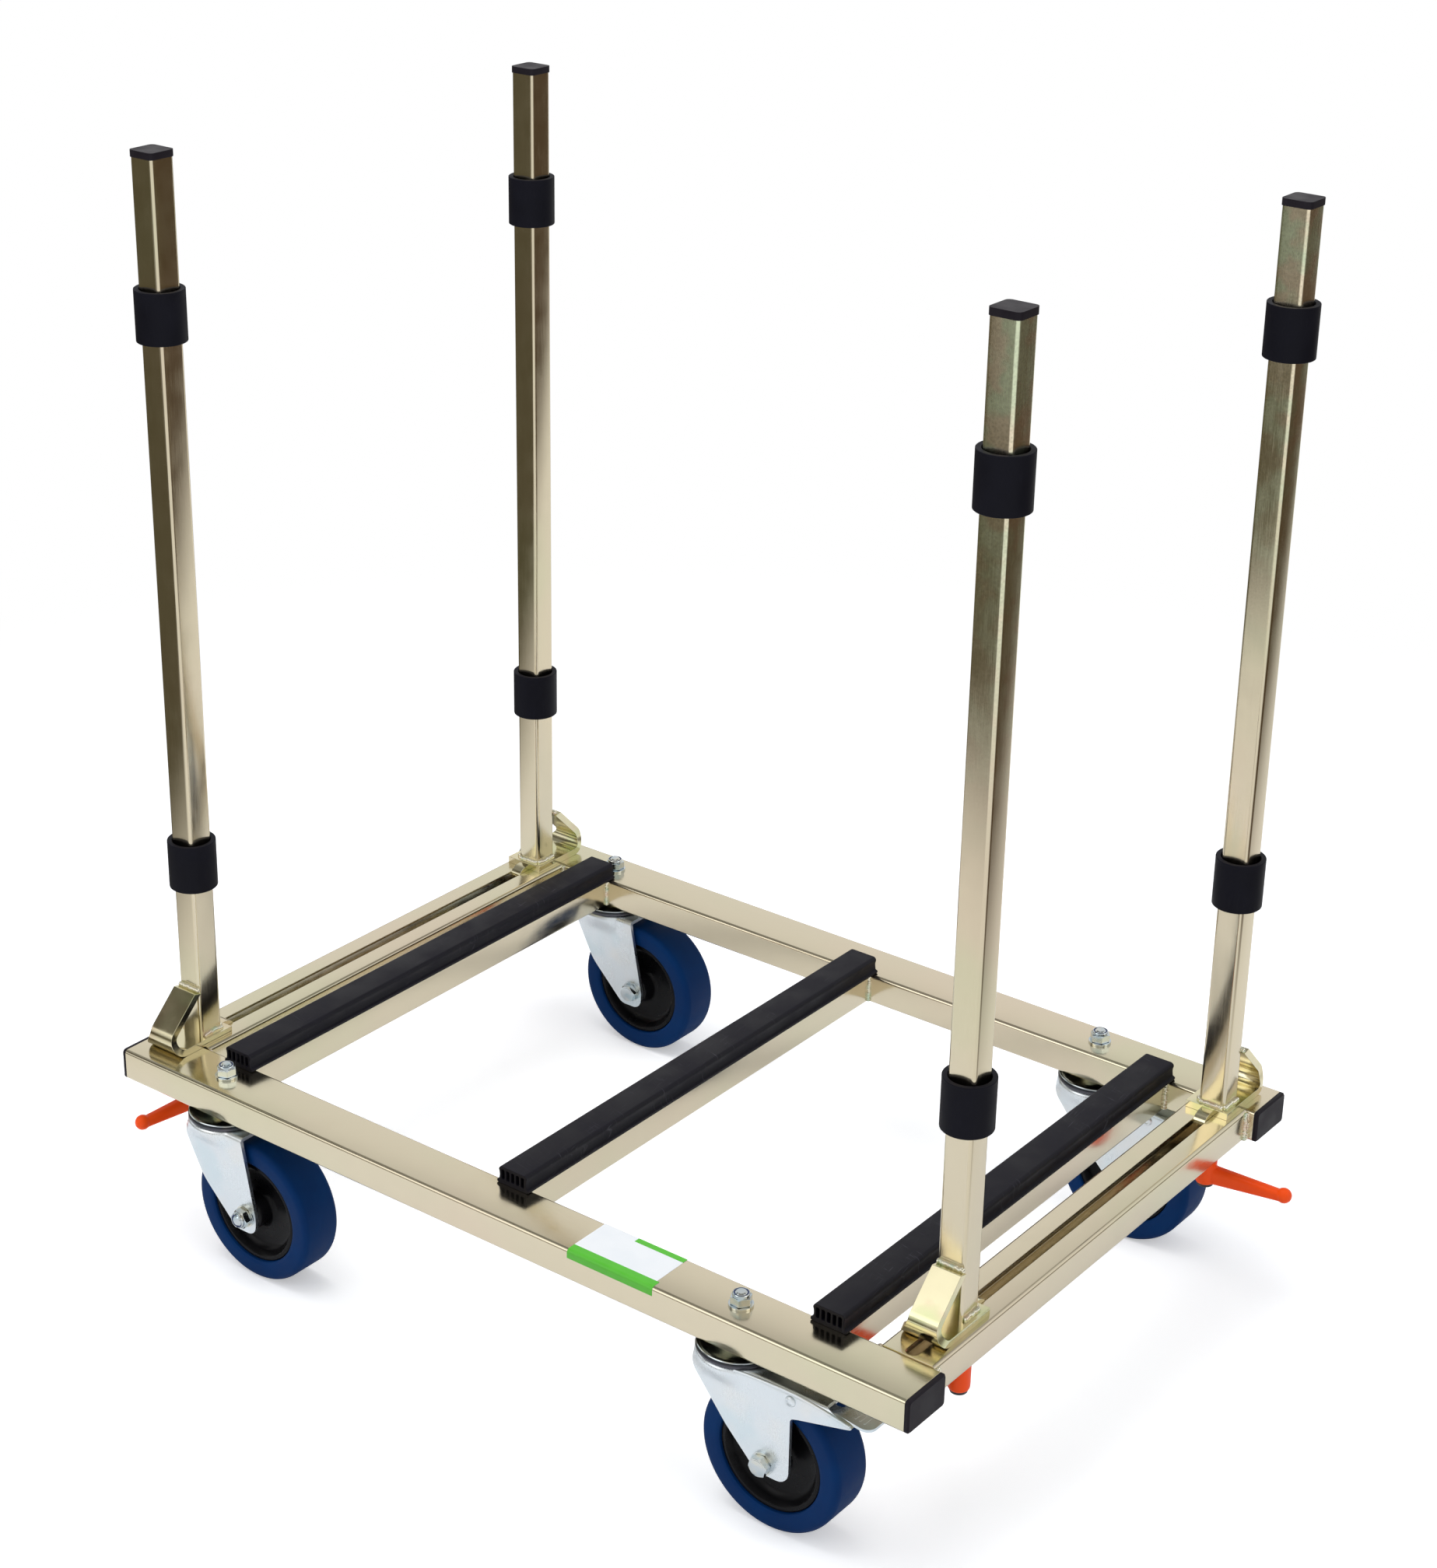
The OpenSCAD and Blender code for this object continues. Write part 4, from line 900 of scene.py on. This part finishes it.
# The plain label folded over the front tube's outer edge, a green band at its lower side
film = {"left": 113, "right": 214.5, "back": 296.5, "fold": 343.5, "low": 205.5, "thickness": 0.18, "bandWidth": 7,
        "bandLeft": 155}


def filmSolid(path, left, right):
    # A film drawn as (y, z) points from the back of the tube's top to its front face
    outer = []
    for i, (y, z) in enumerate(path):
        before, after = Vector(path[max(i - 1, 0)]), Vector(path[min(i + 1, len(path) - 1)])
        along = (after - before).normalized()
        outer.append(tuple(Vector((y, z)) + Vector((along.y, -along.x)) * film["thickness"]))
    return at(alongX, prism([path + outer[::-1]], left, right))


edgeY = -sideTubeY - tube["sideWidth"] / 2
foldPath = [(-film["fold"], topZ)]
foldPath += arcPoints(edgeY + tube["corner"], topZ - tube["corner"], tube["corner"], 90, 180, 8)
foldPath.append((edgeY, film["low"]))
whiteFilm = filmSolid([(-film["back"], topZ), (-film["fold"], topZ)], film["left"], film["right"])
backBand = filmSolid([(-film["back"], topZ), (-film["back"] - film["bandWidth"], topZ)], film["bandLeft"], film["right"])
piece("labelFilm", whiteFilm, "labelWhite", "front_side_tube", 0, added=True)
bands = joined(filmSolid(foldPath, film["left"], film["right"] + 3), (backBand, shift(0, 0, 0.05)))
piece("labelBands", bands, "labelGreen", "front_side_tube", 0, added=True)
print("label ready")


# Weld beads: overlapping drops of metal along drawn lines
def buildWeldTree():
    kinds = {"Lines": "Geometry", "Spacing": "Float", "Radius": "Float", "Wander": "Float", "Seed": "Int",
             "Metal": "Material"}
    tree, start, end = groupTree("GeometryNodeTree", "weldBeads", {k: (kind, None) for k, kind in kinds.items()},
                                 ("Beads", "Geometry"))

    def randomVector(low, high, seedStep, size):
        sockets = {"Min": low, "Max": high, "Seed": mathNode(tree, "ADD", start["Seed"], seedStep)}
        value = addNode(tree, "FunctionNodeRandomValue", sockets, data_type="FLOAT_VECTOR")
        sockets = {0: value.outputs["Value"], "Scale": start[size]}
        return addNode(tree, "ShaderNodeVectorMath", sockets, operation="SCALE").outputs[0]

    curve = addNode(tree, "GeometryNodeMeshToCurve", {"Mesh": start["Lines"]})
    points = addNode(tree, "GeometryNodeCurveToPoints", {"Curve": curve.outputs[0], "Length": start["Spacing"]},
                     mode="LENGTH")
    wander = randomVector((-1, -1, -1), (1, 1, 1), 0, "Wander")
    moved = addNode(tree, "GeometryNodeSetPosition", {"Geometry": points.outputs["Points"], "Offset": wander})
    drop = addNode(tree, "GeometryNodeMeshUVSphere", {"Segments": 9, "Rings": 6, "Radius": 1})
    sizes = randomVector((0.85, 0.85, 0.5), (1.15, 1.15, 0.75), 7, "Radius")
    beads = addNode(tree, "GeometryNodeInstanceOnPoints", {
        "Points": moved.outputs[0], "Instance": drop.outputs["Mesh"], "Rotation": points.outputs["Rotation"],
        "Scale": sizes})
    real = addNode(tree, "GeometryNodeRealizeInstances", {0: beads.outputs[0]})
    metal = addNode(tree, "GeometryNodeSetMaterial", {"Geometry": real.outputs[0], "Material": start["Metal"]})
    tree.links.new(metal.outputs[0], end["Beads"])
    return tree


weldTree = buildWeldTree()
weld = {"spacing": 0.62, "wander": 0.12, "frameRadius": 2.9, "frameSeed": 3, "postRadius": 3.1, "postSeed": 20}


def weldPiece(name, lines, radius, seed, node):
    # Lines are lists of points in millimetres; the beads lie on them
    drawn = bmesh.new()
    for line in lines:
        verts = [drawn.verts.new(Vector(p) * mm) for p in line]
        for a, b in zip(verts, verts[1:]):
            drawn.edges.new((a, b))
    obj = looseObject(name, drawn)
    drawn.free()
    beads = obj.modifiers.new("beads", "NODES")
    beads.node_group = weldTree
    values = {"Spacing": radius * weld["spacing"] * mm, "Radius": radius * mm, "Wander": radius * weld["wander"] * mm,
              "Seed": seed, "Metal": finishes["weld"][0]}
    for item in weldTree.interface.items_tree:
        if item.in_out == "INPUT" and item.name in values:
            beads[item.identifier] = values[item.name]
    ridesOn(smoothed(baked(obj)), node)


# Upright beads where the rails and cross tubes meet the side tubes, heavier on the rails' outer faces
frameLines = []
low, high = cart["frameBottom"] + 3, topZ - 3
railHalf, crossHalf = tube["railWidth"] / 2, tube["crossWidth"] / 2
for x, half in [(-cart["railX"], railHalf), (cart["railX"], railHalf)] + [(x, crossHalf) for _, x in crossPlaces]:
    for side in (-1, 1):
        outerFace = abs(x + side * half) > cart["railX"]
        rows = ((0.6, 0.6), (0.4, 4.6), (1.4, -2.4)) if outerFace else ((0.4, 0.4),)
        frameLines += [[(x + side * (half + out), sy * (cart["innerHalf"] - back), z) for z in (low, high)]
                       for sy in (-1, 1) for out, back in rows]
weldPiece("frameWelds", frameLines, weld["frameRadius"], weld["frameSeed"], "front_side_tube")

# Round each post: behind it, along both sides and over the strap's end
face, onBase = post["width"] / 2, foot["thickness"]
strapTop = footStations()[-1][1][1] + 0.8
postLines = [[(-face + 3, -face - 0.3, onBase + 0.3), (face - 3, -face - 0.3, onBase + 0.3)]]
postLines += [[(s * (face + 0.6), y, onBase + 0.6) for y in (-face + 2, face - 4)] for s in (-1, 1)]
postLines += [[(x, face + 1.6, strapTop) for x in (foot["strapLeft"] + 2, foot["strapRight"] - 3)]]
for i, (name, c) in enumerate(corners.items()):
    lines = [[postPlace(c) @ Vector(p) for p in line] for line in postLines]
    weldPiece("postWelds" + c["tag"], lines, weld["postRadius"], weld["postSeed"] + i, name + "_foot")
print("weld beads ready")


# Camera, as in the photograph
view = {"lens": 69.735, "shift": (0.00316, -0.01616), "place": (1.7144, -2.25666, 1.8214), "yaw": 127.047,
        "pitch": 23.682, "roll": -1.029}


def buildCamera():
    data = bpy.data.cameras.new("camera")
    data.lens, data.sensor_width, data.sensor_fit = view["lens"], 36, "AUTO"
    data.shift_x, data.shift_y = view["shift"]
    cam = bpy.data.objects.new("camera", data)
    bpy.context.scene.collection.objects.link(cam)
    yaw, pitch, roll = [math.radians(view[k]) for k in ("yaw", "pitch", "roll")]
    forward = Vector((math.cos(pitch) * math.cos(yaw), math.cos(pitch) * math.sin(yaw), -math.sin(pitch)))
    right = Vector((math.sin(yaw), -math.cos(yaw), 0))
    down = forward.cross(right)
    right, down = right * math.cos(roll) + down * math.sin(roll), down * math.cos(roll) - right * math.sin(roll)
    cam.matrix_world = Matrix.Translation(view["place"]) @ Matrix((right, -down, -forward)).transposed().to_4x4()
    bpy.context.scene.camera = cam


def softbox(name, place, aim, size, power, mirrored=True):
    data = bpy.data.lights.new(name, "AREA")
    data.shape, data.size, data.size_y, data.energy = "RECTANGLE", size, size, power
    lamp = bpy.data.objects.new(name, data)
    bpy.context.scene.collection.objects.link(lamp)
    lamp.location = place
    lamp.rotation_euler = (Vector(aim) - Vector(place)).to_track_quat("-Z", "Y").to_euler()
    lamp.visible_glossy = mirrored


def emptyTree(owner):
    owner.use_nodes = True
    owner.node_tree.nodes.clear()
    return owner.node_tree


def endTree(tree, outputKind, factor, a, b):
    mix = addNode(tree, "ShaderNodeMixShader", {0: factor, 1: a.outputs[0], 2: b.outputs[0]})
    addNode(tree, outputKind, {"Surface": mix.outputs[0]})


def buildWorld():
    world = bpy.data.worlds.new("studio")
    bpy.context.scene.world = world
    tree = emptyTree(world)
    path = tree.nodes.new("ShaderNodeLightPath").outputs
    camera, glossy = path["Is Camera Ray"], path["Is Glossy Ray"]
    direction = tree.nodes.new("ShaderNodeTexCoord").outputs["Generated"]
    z = addNode(tree, "ShaderNodeSeparateXYZ", {0: direction}).outputs["Z"]
    # What polished metal mirrors: pale low down, greyer higher up, pale again right above
    sky = mixColour(tree, mapRange(tree, z, 0.5, 0.8), (0.9, 0.9, 0.9), (0.25, 0.25, 0.24))
    sky = mixColour(tree, mapRange(tree, z, 0.9, 0.975), sky, (0.88, 0.88, 0.87))
    # A dim room near the horizon and a dim corner of the ceiling
    horizon = mathNode(tree, "MULTIPLY", mapRange(tree, z, 0.0, 0.2, 0.62, 0.0), glossy)
    toCorner = vectorNode(tree, "DOT_PRODUCT", direction, (-0.69, -0.46, 0.56), "Value")
    dim = mathNode(tree, "MULTIPLY", mapRange(tree, toCorner, 0.94, 0.985, 0.0, 0.93), glossy)
    mirrored = mixColour(tree, mathNode(tree, "MAXIMUM", dim, horizon), sky, (0.07, 0.062, 0.04))
    seen = mixColour(tree, camera, mirrored, (1, 1, 1))
    direct = mathNode(tree, "MAXIMUM", mathNode(tree, "MAXIMUM", camera, glossy), path["Is Transmission Ray"])
    endTree(tree, "ShaderNodeOutputWorld", direct,
            addNode(tree, "ShaderNodeBackground", {"Color": (0.93, 0.96, 1), "Strength": 0.55}),
            addNode(tree, "ShaderNodeBackground", {"Color": seen, "Strength": 1.0}))


def buildFloor():
    # Pale floor: shaded near the cart, white further out; reflections see a dim olive room beyond a lit patch
    solid = bmesh.new()
    bmesh.ops.create_grid(solid, x_segments=1, y_segments=1, size=16)
    obj = looseObject("floor", solid)
    material = bpy.data.materials.new("paleFloor")
    tree = emptyTree(material)
    where = tree.nodes.new("ShaderNodeTexCoord").outputs["Object"]
    path = tree.nodes.new("ShaderNodeLightPath").outputs
    glossy = path["Is Glossy Ray"]
    shown = mathNode(tree, "MAXIMUM", path["Is Camera Ray"], path["Is Transmission Ray"])
    matte = addNode(tree, "ShaderNodeBsdfDiffuse", {"Color": (0.9, 0.905, 0.92)})
    lift = addNode(tree, "ShaderNodeEmission", {"Strength": mathNode(tree, "MULTIPLY", shown, 0.38)})
    lifted = addNode(tree, "ShaderNodeAddShader", {0: matte.outputs[0], 1: lift.outputs[0]})
    split = addNode(tree, "ShaderNodeSeparateXYZ", {0: where}).outputs
    # The lit part lies under the cart, in front of it and on one patch behind the camera's left
    behind = mathNode(tree, "MINIMUM", mathNode(tree, "ADD", split["Y"], 0.6), 0.0)
    flat = addNode(tree, "ShaderNodeCombineXYZ", {"X": mathNode(tree, "SUBTRACT", split["X"], 0.03), "Y": behind})
    near = mapRange(tree, vectorNode(tree, "LENGTH", flat.outputs[0], output="Value"), 0.75, 1.6, 1.0, 0.0)
    facing = vectorNode(tree, "DOT_PRODUCT", vectorNode(tree, "NORMALIZE", where), (0.643, -0.766, 0), "Value")
    patch = mapRange(tree, vectorNode(tree, "DISTANCE", where, (-1.7, -4.1, 0), "Value"), 0.2, 1.1, 0.5, 0.0)
    lit = mathNode(tree, "MAXIMUM", near, mapRange(tree, facing, 0.6, 0.85, 0.0, 0.95))
    lit = mathNode(tree, "MAXIMUM", lit, patch)
    dark = mixColour(tree, mapRange(tree, split["X"], 0.9, 1.5), (0.095, 0.083, 0.05), (0.085, 0.058, 0.034))
    room = mixColour(tree, lit, dark, (0.95, 0.95, 0.94))
    white = addNode(tree, "ShaderNodeEmission", {"Color": mixColour(tree, glossy, (1, 1, 1), room)})
    reach = vectorNode(tree, "LENGTH", where, output="Value")
    farSeen = mathNode(tree, "MULTIPLY", mapRange(tree, reach, 1.0, 2.2), mathNode(tree, "SUBTRACT", 1.0, glossy))
    farMirrored = mathNode(tree, "MULTIPLY", mapRange(tree, reach, 0.75, 1.15), glossy)
    endTree(tree, "ShaderNodeOutputMaterial", mathNode(tree, "ADD", farSeen, farMirrored), lifted, white)
    obj.data.materials.append(material)


buildCamera()
buildWorld()
buildFloor()
softbox("topSoftbox", (-0.4, -0.3, 3.2), (0, 0, 0.3), 2.2, 55, mirrored=False)
softbox("frontSoftbox", (-1.6, -3.2, 2.6), (0, 0, 0.5), 2.6, 22)
softbox("sideSoftbox", (3.4, 0.6, 2.6), (0, 0, 0.5), 2.4, 16)
bpy.context.scene.view_settings.view_transform = "Standard"
print("stage ready")
